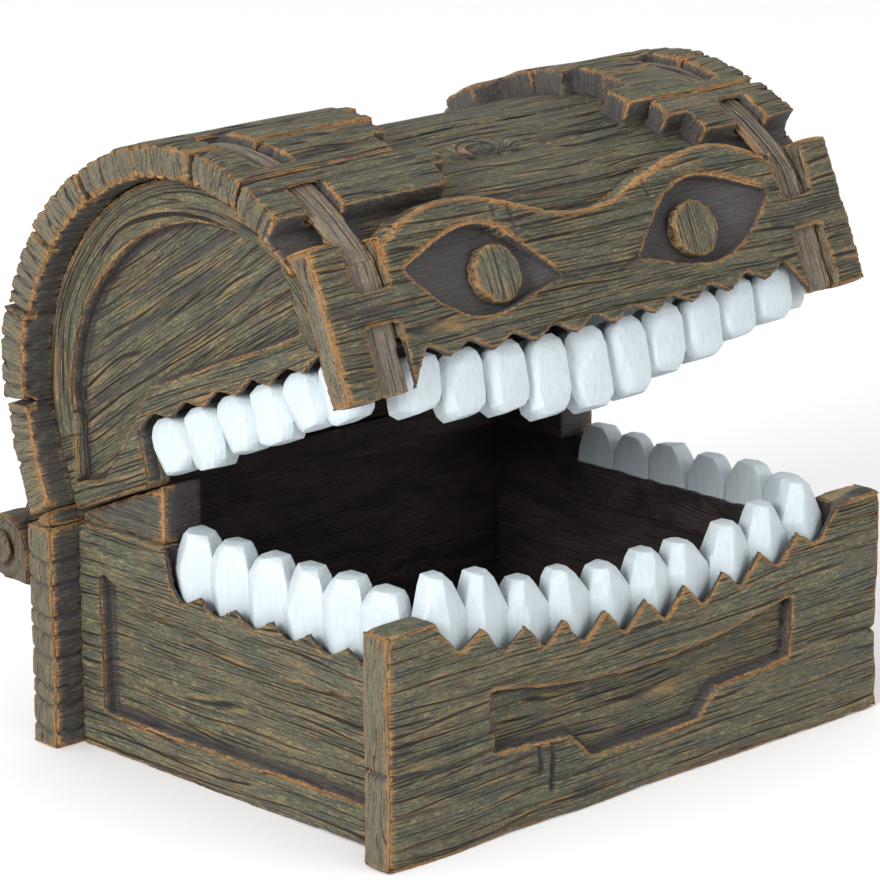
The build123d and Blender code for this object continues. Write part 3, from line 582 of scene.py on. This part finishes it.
def end_board(node):
    """An end panel of the base, with its sunk field and the lip of its mouth."""
    piece = Carving(node)
    x, y, z = np.abs(piece.co[:, 0]), piece.co[:, 1], piece.co[:, 2]
    wall = (x < END_X - 0.5) & (x > END_X - 3.8) & (z < 46)
    lip = (x < END_X - 0.5) & (x > END_X - 2.6) & (z > LIP_FOOT_Z) & (y < SIDE_LEDGE_END_Y)
    # Painted shade on the field's wall and the mouth's lip
    masks = {"inside": base_inside(piece.co), "hollow": 0.8 * (wall | lip), "wear": 1 - 0.75 * lip}
    knots = ((-8.0, 24.0, 2.0),) if node == "base_right_end" else ()
    finish_board(piece, (y, z, piece.co[:, 0]), Y_AXIS, GRAIN_DEPTH, knots, **masks)
    hand_over(piece.mesh, node, WOOD)


def base_floor():
    """The floor board, dark on its upper side."""
    piece = Carving("base_floor", 1.2)
    x, y, z = piece.co.T
    finish_board(piece, (x, y, z), X_AXIS, 0.4, inside=0.6 * (z > FLOOR_T / 2))
    hand_over(piece.mesh, "base_floor", WOOD)


def cheek(node):
    """A wedge in the corner of the mouth, with its outer front corner worn bare."""
    piece = Carving(node, 0.5)
    x, y, z = np.abs(piece.co[:, 0]), piece.co[:, 1], piece.co[:, 2]
    mouth_face = ramp(-piece.normal[:, 1], 0.4, 0.7)
    corner = (x > x.max() - 4) & (y < y.min() + 4)
    masks = {
        # Painted shade over the whole wedge, full on its face towards the mouth, which also takes some of the
        # dark inner paint
        "inside": np.maximum(1.0 * (x < 60), 0.4 * mouth_face * ~corner),
        "hollow": np.maximum(0.65, mouth_face),
        "bare": 0.8 * corner,
    }
    finish_board(piece, (y, z, piece.co[:, 0]), Y_AXIS, 0.3, **masks)
    hand_over(piece.mesh, node, WOOD)


board_along_x("base_front_board", (), front_cuts)
board_along_x("base_back_board", ((-30.0, 30.0, 2.6), (38.0, 18.0, 2.2)), back_cuts)
board_along_x("rear_sill")
end_board("base_left_end")
end_board("base_right_end")
base_floor()
for side in SIDES:
    cheek(side + "_cheek")

# Boards of the lid

# Joints of the raised planks: (angle on the arch, x from, x to)
PLANK_LINES = (
    (57.5, -84, -36),
    (51.5, -84, -40),
    (42.0, -84, -34),
    (72.0, -84, -30),
    (91.0, -84, -32),
    (71.0, 40, 84),
)

# Cracks of the layer below them: (x, angle) from and to
LAYER_LINES = (((-15, 48.5), (34, 49.2)), ((-17, 32.8), (31, 31.2)), ((-20, 27.5), (23, 24.5)))

# Places of the saw cuts along the rim of the arch
RIM_CUTS = tuple(36.0 + 5.2 * step + 1.6 * math.sin(7.3 * step) for step in range(32))

# Angle on the arch of the knot in the middle of the lid
KNOT_ANGLE = math.radians(50.2)

# Lines on the front board, in x and z: (start, end, width, depth)
EYE_SLIT = ((13.5, 18.2), (6.1, 15.9), 0.5, 1.2)
POST_GROOVE = ((84, 20.4), (58, 18.4), 0.9, 0.7)
BROW_CRACKS = (
    ((-23.4, 38.5), (-22, 28.4), 0.8, 1.0),
    ((-28.3, 39.5), (-27.6, 34), 0.6, 0.8),
    ((20.4, 37), (20.9, 31), 0.7, 0.9),
)

# Eye sockets: inner corner and length along x, then shares of the length with heights of each edge
EYE_INNER_X, EYE_LENGTH = 12.5, 45.95
EYE_UPPER = ((0.0, 0.18, 0.46, 0.76, 1.0), (17.4, 25.4, 32.7, 30.2, 26.5))
EYE_LOWER = ((0.0, 0.26, 0.55, 0.82, 1.0), (17.4, 14.7, 12.8, 18.4, 26.5))

# Planks in the sunk field of the ends: their slant, and cracks in y and z
FIELD_TILT = math.radians(9.5)
FIELD_LINES = (((42.8, 20.8), (-35.8, 34.4)), ((19.6, 41.0), (-24.0, 46.6)), ((34.0, 31.5), (-12.0, 39.5)))


def lid_inside(co):
    """1 on the faces that look into the lid's hollow."""
    y, z = lid_coordinates(co)
    within = np.abs(co[:, 0]) < LID_INNER_X + SKIN
    under = (np.hypot(y, z - ARCH_Z) < ARCH_IN + SKIN) | (z < ARCH_Z)
    return (within & under & (y > LID_INNER_Y - SKIN) & (y < ARCH_IN + 1)).astype(float)


def stave_cuts(angle, radius, x):
    """Joints between the planks of a stave, on the raised planks and on the layer below."""
    raised = ramp(radius, SHELL_R + 1.5, SHELL_R + 3)
    arc = np.radians(angle) * ARCH_R
    cut = np.zeros_like(x)
    for line, start, end in PLANK_LINES:
        at = math.radians(line) * ARCH_R
        cut += raised * furrow(x, arc, (start, at), (end, at + 1.0), 0.55)
    for (x_from, from_angle), (x_to, to_angle) in LAYER_LINES:
        start = (x_from, math.radians(from_angle) * ARCH_R)
        end = (x_to, math.radians(to_angle) * ARCH_R)
        cut += (1 - raised) * furrow(x, arc, start, end, 0.55)
    rim = ramp(np.abs(x), LID_HALF_W - 5, LID_HALF_W - 2.5)
    wander = 0.5 * noise(radius / 3, arc / 9, x / 9, 41)
    for at in RIM_CUTS:
        cut += rim * np.exp(-(((arc - at + wander) / 0.5) ** 2))
    return np.clip(cut, 0, 1)


def around_arch(stave, angle):
    """How far each normal points around the arch to the back."""
    turn = np.radians(angle)
    tilt_y = math.cos(JAW) * stave.normal[:, 1] - math.sin(JAW) * stave.normal[:, 2]
    tilt_z = math.sin(JAW) * stave.normal[:, 1] + math.cos(JAW) * stave.normal[:, 2]
    return tilt_y * np.sin(turn) + tilt_z * np.cos(turn)


def stave_shaded_hollows(stave, angle, radius):
    """Painted shade: 1 in the shoulder hollows beside the brow, part way on the broken planks' front faces,
    on the raised planks' front faces and under the rim past the ends.
    """
    x = np.abs(stave.co[:, 0])
    shoulder = (x > 58) & (angle < 35.5) & (radius < ARCH_R - 1.2) & (radius > SHELL_R - 1)
    broken = (x < LID_HALF_W - 6) * ramp(np.abs(stave.normal[:, 0]), 0.5, 0.8)
    soffit = 0.8 * (x > LID_END_X) * (radius < ARCH_IN + 0.8) * ramp(np.abs(stave.normal[:, 0]), 0.8, 0.5)
    front_face = ramp(-around_arch(stave, angle), 0.5, 0.8) * (radius > SHELL_R + 0.3)
    flat = np.maximum(0.75 * front_face * (x < LID_HALF_W - 2), soffit)
    return np.maximum(np.maximum(shoulder, 0.85 * broken), flat)


def lid_stave(number):
    """One plank of the arch. Its joints are closed below the outer face, so that no light shows through."""
    name = f"lid_stave_{number}"
    stave = Carving(name)
    x = stave.co[:, 0]
    angle, radius = arch_coordinates(stave.co)
    arc = np.radians(angle) * ARCH_R
    knots = {2: ((-5.5, KNOT_ANGLE * ARCH_R, 2.7),), 7: ((-43.0, arc.mean(), 1.9),)}
    joint = ramp(np.abs(around_arch(stave, angle)), 0.5, 0.8)
    joint = joint * (radius < SHELL_R - 0.7) * (angle > 36) * (angle < 176)
    inside = lid_inside(stave.co)
    masks = {
        "inside": inside,
        # Painted shade in the hollows, and dark faces on the joints
        "hollow": np.maximum(stave_shaded_hollows(stave, angle, radius), joint),
        "cuts": stave_cuts(angle, radius, x) * (1 - inside),
        "wear": 0.1 + 0.9 * ramp(radius, SHELL_R + 0.6, SHELL_R + 2),
        "bare": 0.6 * (np.abs(x) > LID_HALF_W - 4) * (radius < ARCH_IN + 2.5),
        "shift": stave.normal * (0.6 * joint)[:, None],
        "ends": (radius, arc),
    }
    finish_board(stave, (x, arc, radius), X_AXIS, 0.4, knots.get(number, ()), **masks)
    hand_over(stave.mesh, name, WOOD)


def lid_front_cuts(x, z):
    """Slits at the inner eye corners, cracks through the brow and grooves across the posts."""
    cut = furrows(x, z, BROW_CRACKS)
    for side in (-1, 1):
        cut = cut + furrows(side * x, z, (EYE_SLIT, POST_GROOVE))
    return np.clip(cut, 0, 1.2)


def eye_share(x):
    """How far a point lies from the inner corner of its eye, 0, to the outer corner, 1."""
    return (np.abs(x) - EYE_INNER_X) / EYE_LENGTH


def almond(x, z):
    """True inside the eye sockets."""
    share = eye_share(x)
    within = (share > -0.01) & (share < 1.01)
    return within & (z < np.interp(share, *EYE_UPPER) + 1.0) & (z > np.interp(share, *EYE_LOWER) - 1.0)


def lid_front_board():
    """The face: rounded brow, eye sockets that deepen like bowls, and the upper lip."""
    board = Carving("lid_front_board", 0.9 * VOXEL)
    x = board.co[:, 0]
    y, z = lid_coordinates(board.co)
    inward = np.array([0, math.cos(JAW), -math.sin(JAW)])
    facing = ramp(-(board.normal @ inward), 0.2, 0.6)
    eye = almond(x, z)
    socket = (eye & (y > LID_FRONT_Y + 0.9) & (y < LID_FRONT_Y + 6)).astype(float)
    share = eye_share(x)
    bowl = np.maximum(ramp(share, 0.55, 1.0), ramp(share, 0.22, 0.0))
    lip = (np.abs(x) < 66) & (z < 11) & (y > LID_FRONT_Y + 0.5) & (y < LID_FRONT_Y + 3)
    brow, post_ends = ramp(z, 26, 30) * (1 - socket), 0.4 * ramp(np.abs(x), 77, 79)
    masks = {
        "inside": lid_inside(board.co),
        # Painted shade in the eye sockets and in the upper lip's recess
        "hollow": np.maximum(socket, 0.85 * lip),
        "cuts": lid_front_cuts(x, z) * facing * (1 - socket),
        "wear": 1 - 0.85 * lip,
        "bare": np.where(np.abs(x) < 64, brow, post_ends),
        # Painted shade: the whole board is darkened a little
        "painted_shade": 0.3,
        "shift": -(0.6 * eye * bowl * np.clip(y - LID_FRONT_Y, 0, 4.8))[:, None] * inward,
    }
    finish_board(board, (x, z, y), X_AXIS, GRAIN_DEPTH, **masks)
    hand_over(board.mesh, "lid_front_board", WOOD)


def brow_backing():
    """The board behind the brow, dark towards the lid's hollow."""
    piece = Carving("lid_brow_backing", 1.0)
    y, z = lid_coordinates(piece.co)
    finish_board(piece, (piece.co[:, 0], z, y), X_AXIS, 0.3, inside=1.0 * (y > LID_INNER_Y + 1))
    hand_over(piece.mesh, "lid_brow_backing", WOOD)


def lid_end(node):
    """End panel: slanting planks in the sunk field, bent grain in its arched border."""
    piece = Carving(node)
    x = np.abs(piece.co[:, 0])
    y, z = lid_coordinates(piece.co)
    angle, radius = arch_coordinates(piece.co)
    sunk = (x < LID_END_X - 3) & (x > LID_END_X - 5.5)
    border = ~sunk & (radius > 43.5) & (z > 15)
    slant_u = -y * math.cos(FIELD_TILT) + z * math.sin(FIELD_TILT)
    slant_v = y * math.sin(FIELD_TILT) + z * math.cos(FIELD_TILT)
    u = np.where(sunk, slant_u, np.where(border, np.radians(angle) * 50, y))
    v = np.where(sunk, slant_v, np.where(border, radius, z))
    cracks = sum(furrow(y, z, start, end, 0.75) for start, end in FIELD_LINES)
    wall = 0.8 * (x < LID_END_X - 0.5) * (x > LID_END_X - 3.8) * (radius < 48) * (z > -1)
    lip = (x < LID_END_X - 0.5) & (x > LID_END_X - 2.8) & (z < 14.5) & (y < 24.5)
    masks = {
        "inside": lid_inside(piece.co),
        # Painted shade on the field's wall and the mouth's lip
        "hollow": np.maximum(wall, 0.85 * lip),
        "cuts": 1.1 * sunk * cracks,
        "wear": 1 - 0.8 * lip,
        # Painted shade: the whole panel is darkened, as under the arched rim
        "painted_shade": 0.25,
    }
    finish_board(piece, (u, v, piece.co[:, 0]), Y_AXIS, GRAIN_DEPTH, **masks)
    hand_over(piece.mesh, node, WOOD)


def strap(node):
    """A strap over the front shoulder, its grain along its bend."""
    piece = Carving(node, 0.45)
    z = lid_coordinates(piece.co)[1]
    angle, radius = arch_coordinates(piece.co)
    along = np.where(angle > 21, np.radians(angle) * SHELL_R, z)
    finish_board(piece, (along, piece.co[:, 0], radius), NO_AXIS, 0.32)
    hand_over(piece.mesh, node, STRAP_WOOD)


def eye_disc(node):
    """The round pupil, with upright grain."""
    piece = Carving(node, 0.35)
    y, z = lid_coordinates(piece.co)
    finish_board(piece, (z, piece.co[:, 0], y), NO_AXIS, 0.26)
    hand_over(piece.mesh, node, WOOD)


for number in range(1, 9):
    lid_stave(number)
lid_front_board()
brow_backing()
lid_end("lid_left_end")
lid_end("lid_right_end")
for side in SIDES:
    strap(side + "_strap")
    eye_disc(side + "_eye_disc")

# Hinges and gum rails

ROWS = [f"{jaw}_{place}" for jaw in ("lower", "upper") for place in ("front", "left", "right")]


def scroll(co, normal):
    """A spiral groove on the round ends of the hinge barrels."""
    dy, dz = co[:, 1] - HINGE_Y, co[:, 2] - HINGE_Z
    reach = np.hypot(dy, dz)
    turn = np.arctan2(dz, dy) / (2 * math.pi)
    groove = np.cos(2 * math.pi * (reach / 2.7 - turn))
    on_end = ramp(np.abs(normal[:, 0]), 0.6, 0.9) * (reach < 7.6)
    return 0.45 * on_end * ramp(groove, 0.1, 0.9)


def hinge_piece(node, voxel, depth):
    """A leaf or a pin of a hinge."""
    piece = Carving(node, voxel)
    x, y, z = piece.co.T
    finish_board(piece, (x, z, y), X_AXIS, depth, cuts=scroll(piece.co, piece.normal))
    hand_over(piece.mesh, node, HINGE_WOOD)


def gum_rail(node):
    """A rail that carries a row of teeth, dark grey and painted darker as the shadow under them, darkest
    where it looks into the base's hollow.
    """
    piece = Carving(node, 0.6)
    x, y, z = piece.co.T
    inner = (np.abs(x) < 62.9) & (y > -51.7) & (z < 51)
    finish_board(piece, (x + y, z, y), NO_AXIS, 0.2, inside=1.0 * inner)
    hand_over(piece.mesh, node, GUM_AND_SHADOW)


for side in SIDES:
    hinge_piece(side + "_hinge_base_leaf", 0.5, 0.26)
    hinge_piece(side + "_hinge_lid_leaf", 0.5, 0.26)
    hinge_piece(side + "_hinge_pin", 0.3, 0.12)
for row in ROWS:
    gum_rail(row + "_gum")

# Teeth

# Tips of the front rows, left to right: x, and height over the ground or over the lid's rim
LOWER_TIPS = (
    (-60.1, 63.4), (-48.5, 61.5), (-36.2, 57.4), (-24.1, 56.5), (-9.2, 54.8),
    (5.9, 54.9), (17.6, 54.6), (33.4, 55.6), (45.5, 57.8), (57.8, 61.1),
)
UPPER_TIPS = (
    (-57.3, -4.5), (-45.7, -7.7), (-31.6, -9.0), (-18.8, -12.2), (-4.8, -13.2),
    (9.0, -12.5), (22.6, -9.6), (34.8, -8.3), (46.5, -5.6), (58.4, -3.9),
)

# Inward lean of the upper teeth over their length: (side rows, front row)
UPPER_LEAN = (-1.2, 2.6)

# Corners of a cut tooth that lie closer than this become one
TOOTH_SLIVER = 0.6

# Sections of a tooth from root to tip: (share of the length, share of the width, share cut off its front)
UPPER_SHAPE = (
    (0.0, 0.5, 0.14), (0.1, 0.86, 0.04), (0.26, 1.04, 0.0),
    (0.72, 1.06, 0.0), (0.88, 0.92, 0.03), (1.0, 0.54, 0.14),
)
LOWER_SHAPE = ((0.0, 1.02, 0.08), (0.36, 1.12, 0.0), (0.58, 1.1, 0.0), (0.9, 0.6, 0.14), (1.0, 0.36, 0.24))
SIDE_SHAPE = ((0.0, 1.06, 0.08), (0.4, 1.14, 0.0), (0.66, 1.1, 0.0), (0.88, 0.8, 0.08), (1.0, 0.48, 0.2))


def islands(mesh):
    """The vertices of each separate tooth of a row, in millimetres."""
    work = bmesh.new()
    work.from_mesh(mesh)
    bmesh.ops.remove_doubles(work, verts=work.verts, dist=1e-5)
    left = set(work.verts)
    found = []
    while left:
        stack = [left.pop()]
        group = []
        while stack:
            vert = stack.pop()
            group.append(vert.co[:])
            for edge in vert.link_edges:
                other = edge.other_vert(vert)
                if other in left:
                    left.remove(other)
                    stack.append(other)
        found.append(np.array(group) / MM)
    work.free()
    return found


def row_frame(row):
    """Matrix from a tooth's own axes (along the row, inward, root to tip) to the chest, in millimetres."""
    jaw, place = row.split("_")[:2]
    if place == "front":
        axes = ((1, 0, 0), (0, 1, 0), (0, 0, 1))
    elif place == "left":
        axes = ((0, -1, 0), (1, 0, 0), (0, 0, 1))
    else:
        axes = ((0, 1, 0), (-1, 0, 0), (0, 0, 1))
    turn = Matrix(axes).transposed()
    if jaw == "upper":
        turn = Matrix.Rotation(-JAW, 3, "X") @ turn @ Matrix.Diagonal((1, 1, -1))
    return np.array(turn)


def tooth_points(low, high, shape, flat, start, rng):
    """Corners of a tooth's sections, in the place of its plain block, from its root or a little past it."""
    middle, half = (low + high) / 2, (high - low) / 2
    points = []
    for share, width, shaved in shape:
        height = low[2] + 2 * half[2] * (start + (1 - start) * share)
        slip = rng.uniform(-0.05, 0.05)
        corners = [(side, shaved + 0.32) for side in (-1, 1)]
        corners += [(side, shaved + rng.uniform(0.0, 0.05)) for side in flat]
        corners += [(side * 0.85, 0.95) for side in (-1, 1)]
        for side, depth in corners:
            points.append((middle[0] + half[0] * (width * side + slip), low[1] + 2 * half[1] * depth, height))
    return np.array(points)


def hull(points):
    """A closed convex mesh round some points."""
    work = bmesh.new()
    for point in points:
        work.verts.new(point)
    found = bmesh.ops.convex_hull(work, input=work.verts)
    inner = [item for item in found["geom_interior"] if isinstance(item, bmesh.types.BMVert)]
    bmesh.ops.delete(work, geom=inner, context="VERTS")
    return work


def cut_tooth(points, rng):
    """Hull of a tooth with a shaving off its front and one off its tip, its edges softened."""
    work = hull(points)
    low, high = points.min(axis=0), points.max(axis=0)
    middle, span = (low + high) / 2, high - low
    normal = Vector((-rng.uniform(0.25, 0.6), -0.9, rng.uniform(-0.25, 0.35)))
    shave(work, middle + span * np.array([rng.uniform(-0.3, -0.1), -0.47, rng.uniform(-0.1, 0.1)]), normal)
    tilt = Vector((rng.uniform(-0.14, 0.14), rng.uniform(-0.25, 0.0), 1.0))
    shave(work, middle + span * np.array([0, -0.2, 0.48]), tilt)
    bmesh.ops.remove_doubles(work, verts=work.verts, dist=TOOTH_SLIVER)
    corners = [vert.co.copy() for vert in work.verts]
    work.free()
    work = hull(corners)
    bmesh.ops.dissolve_limit(work, angle_limit=math.radians(2), verts=work.verts, edges=work.edges)
    softening = {"offset": 0.4, "segments": 2, "profile": 0.6, "clamp_overlap": True}
    bmesh.ops.bevel(work, geom=work.edges[:], affect="EDGES", **softening)
    bmesh.ops.triangulate(work, faces=work.faces[:])
    return work


def shave(work, point, normal):
    """Cut away what lies beyond a plane and close the cut."""
    geom = work.verts[:] + work.edges[:] + work.faces[:]
    cut = bmesh.ops.bisect_plane(work, geom=geom, plane_co=Vector(point), plane_no=normal, clear_outer=True)
    rim = [item for item in cut["geom_cut"] if isinstance(item, bmesh.types.BMEdge)]
    if rim:
        bmesh.ops.holes_fill(work, edges=rim)


def upper_start(middle, front):
    """Share of an upper tooth's length left out at its root, so that dark gaps show over the tooth."""
    if not front:
        return 0.12
    return 0.21 - 0.09 * (middle / 60) ** 2


def tooth_row(row, tips=None):
    """Redraw a row of teeth: each leans and reaches to its own tip and has its own cuts."""
    node = row + "_teeth"
    turn = row_frame(row)
    rng = np.random.default_rng(sum(map(ord, row)))
    whole = bmesh.new()
    teeth = sorted(islands(NODES[node].data), key=lambda group: (group @ turn)[:, 0].mean())
    upper, front = row.startswith("upper"), row.endswith("front")
    for index, group in enumerate(teeth):
        low, high = (group @ turn).min(axis=0), (group @ turn).max(axis=0)
        middle = (low[0] + high[0]) / 2
        start = upper_start(middle, front) if upper else 0.0
        ridge = rng.uniform(-0.4, -0.1)
        flat = (-0.7, 0.7) if upper else (ridge - 0.1, ridge + 0.1)
        shape = UPPER_SHAPE if upper else LOWER_SHAPE if front else SIDE_SHAPE
        local = tooth_points(low, high, shape, flat, start, rng)
        share = (local[:, 2] - low[2]) / (high[2] - low[2])
        reach = rng.uniform(-0.7, 0.9)
        lean = rng.uniform(-1.1, 1.1)
        if tips:
            aim_x, aim_z = tips[index]
            reach = aim_z - high[2]
            lean = rng.uniform(-2.0, -0.8) if upper else np.clip(aim_x - middle, -2.0, 2.0)
        local[:, 2] += reach * share
        local[:, 0] += lean * share
        local[:, 1] += UPPER_LEAN[front] * upper * share
        tooth = cut_tooth(local, rng)
        bmesh.ops.transform(tooth, matrix=Matrix(turn * MM).to_4x4(), verts=tooth.verts)
        made = bpy.data.meshes.new("tooth")
        tooth.to_mesh(made)
        tooth.free()
        whole.from_mesh(made)
        bpy.data.meshes.remove(made)
    mesh = bpy.data.meshes.new(node)
    whole.to_mesh(mesh)
    whole.free()
    mesh.shade_smooth()
    hand_over(mesh, node, TOOTH)


def upper_tip_heights():
    """Tips of the upper front teeth along their own axis, from their place in the lid's frame."""
    turn = row_frame("upper_front")
    at = np.array([[0, HEEL_Y, HEEL_Z]]) @ turn
    return [(x, at[0, 2] - z) for x, z in UPPER_TIPS]


FRONT_TIPS = {"lower_front": LOWER_TIPS, "upper_front": upper_tip_heights()}
for row in ROWS:
    tooth_row(row, FRONT_TIPS.get(row))

before_and_after("after", SIZES)

# Floor, light and camera

bpy.ops.mesh.primitive_plane_add(size=8)
ground = bpy.context.object
ground.name = "ground"
ground_paint = Paint("ground")
ground_at = ground_paint.node("ShaderNodeTexCoord", {}).outputs["Object"]
ground_noise = ground_paint.noise(ground_at, 2.0, 0.3, 0.7)
ground_colour = ground_paint.mix(ground_noise, (0.86, 0.86, 0.86, 1), (0.88, 0.88, 0.88, 1))
ground.data.materials.append(ground_paint.done(ground_colour, 0.9, ground_noise, 0.02))

world = bpy.data.worlds.new("studio")
SCENE.world = world
world.use_nodes = True
world.node_tree.nodes["Background"].inputs[0].default_value = (1, 1, 1, 1)
world.node_tree.nodes["Background"].inputs[1].default_value = 1.0


def lamp(name, place, aim, size, power):
    """A square area lamp at a place, turned to a point."""
    data = bpy.data.lights.new(name, "AREA")
    data.size = size
    data.energy = power
    shown = bpy.data.objects.new(name, data)
    SCENE.collection.objects.link(shown)
    shown.location = place
    shown.rotation_euler = (Vector(aim) - Vector(place)).to_track_quat("-Z", "Y").to_euler()


LAMP_AIM = (0, 0, 0.07)
lamp("key", (-1.72, -0.42, 0.8), LAMP_AIM, 0.7, 34)
lamp("fill", (0.5, -1.7, 0.6), LAMP_AIM, 1.0, 6)

# The camera that was fitted to the photo
AZIMUTH, ELEVATION, ROLL = math.radians(-43.31), math.radians(15.52), math.radians(-0.55)
TARGET, DISTANCE = Vector((-0.00523, 0, 0.07222)), 1.02918
SENSOR, LENS = 36, 177.94
level = math.cos(ELEVATION)
back = Vector((math.sin(AZIMUTH) * level, -math.cos(AZIMUTH) * level, math.sin(ELEVATION)))
right = Vector((math.cos(AZIMUTH), math.sin(AZIMUTH), 0))
up = back.cross(right)
rolled_right = math.cos(ROLL) * right + math.sin(ROLL) * up
rolled_up = math.cos(ROLL) * up - math.sin(ROLL) * right
camera_data = bpy.data.cameras.new("camera")
camera_data.sensor_width = SENSOR
camera_data.lens = LENS
camera = bpy.data.objects.new("camera", camera_data)
SCENE.collection.objects.link(camera)
pose = Matrix((rolled_right, rolled_up, back)).transposed().to_4x4()
pose.translation = TARGET + back * DISTANCE
camera.matrix_world = pose
SCENE.camera = camera
SCENE.view_settings.view_transform = "Standard"
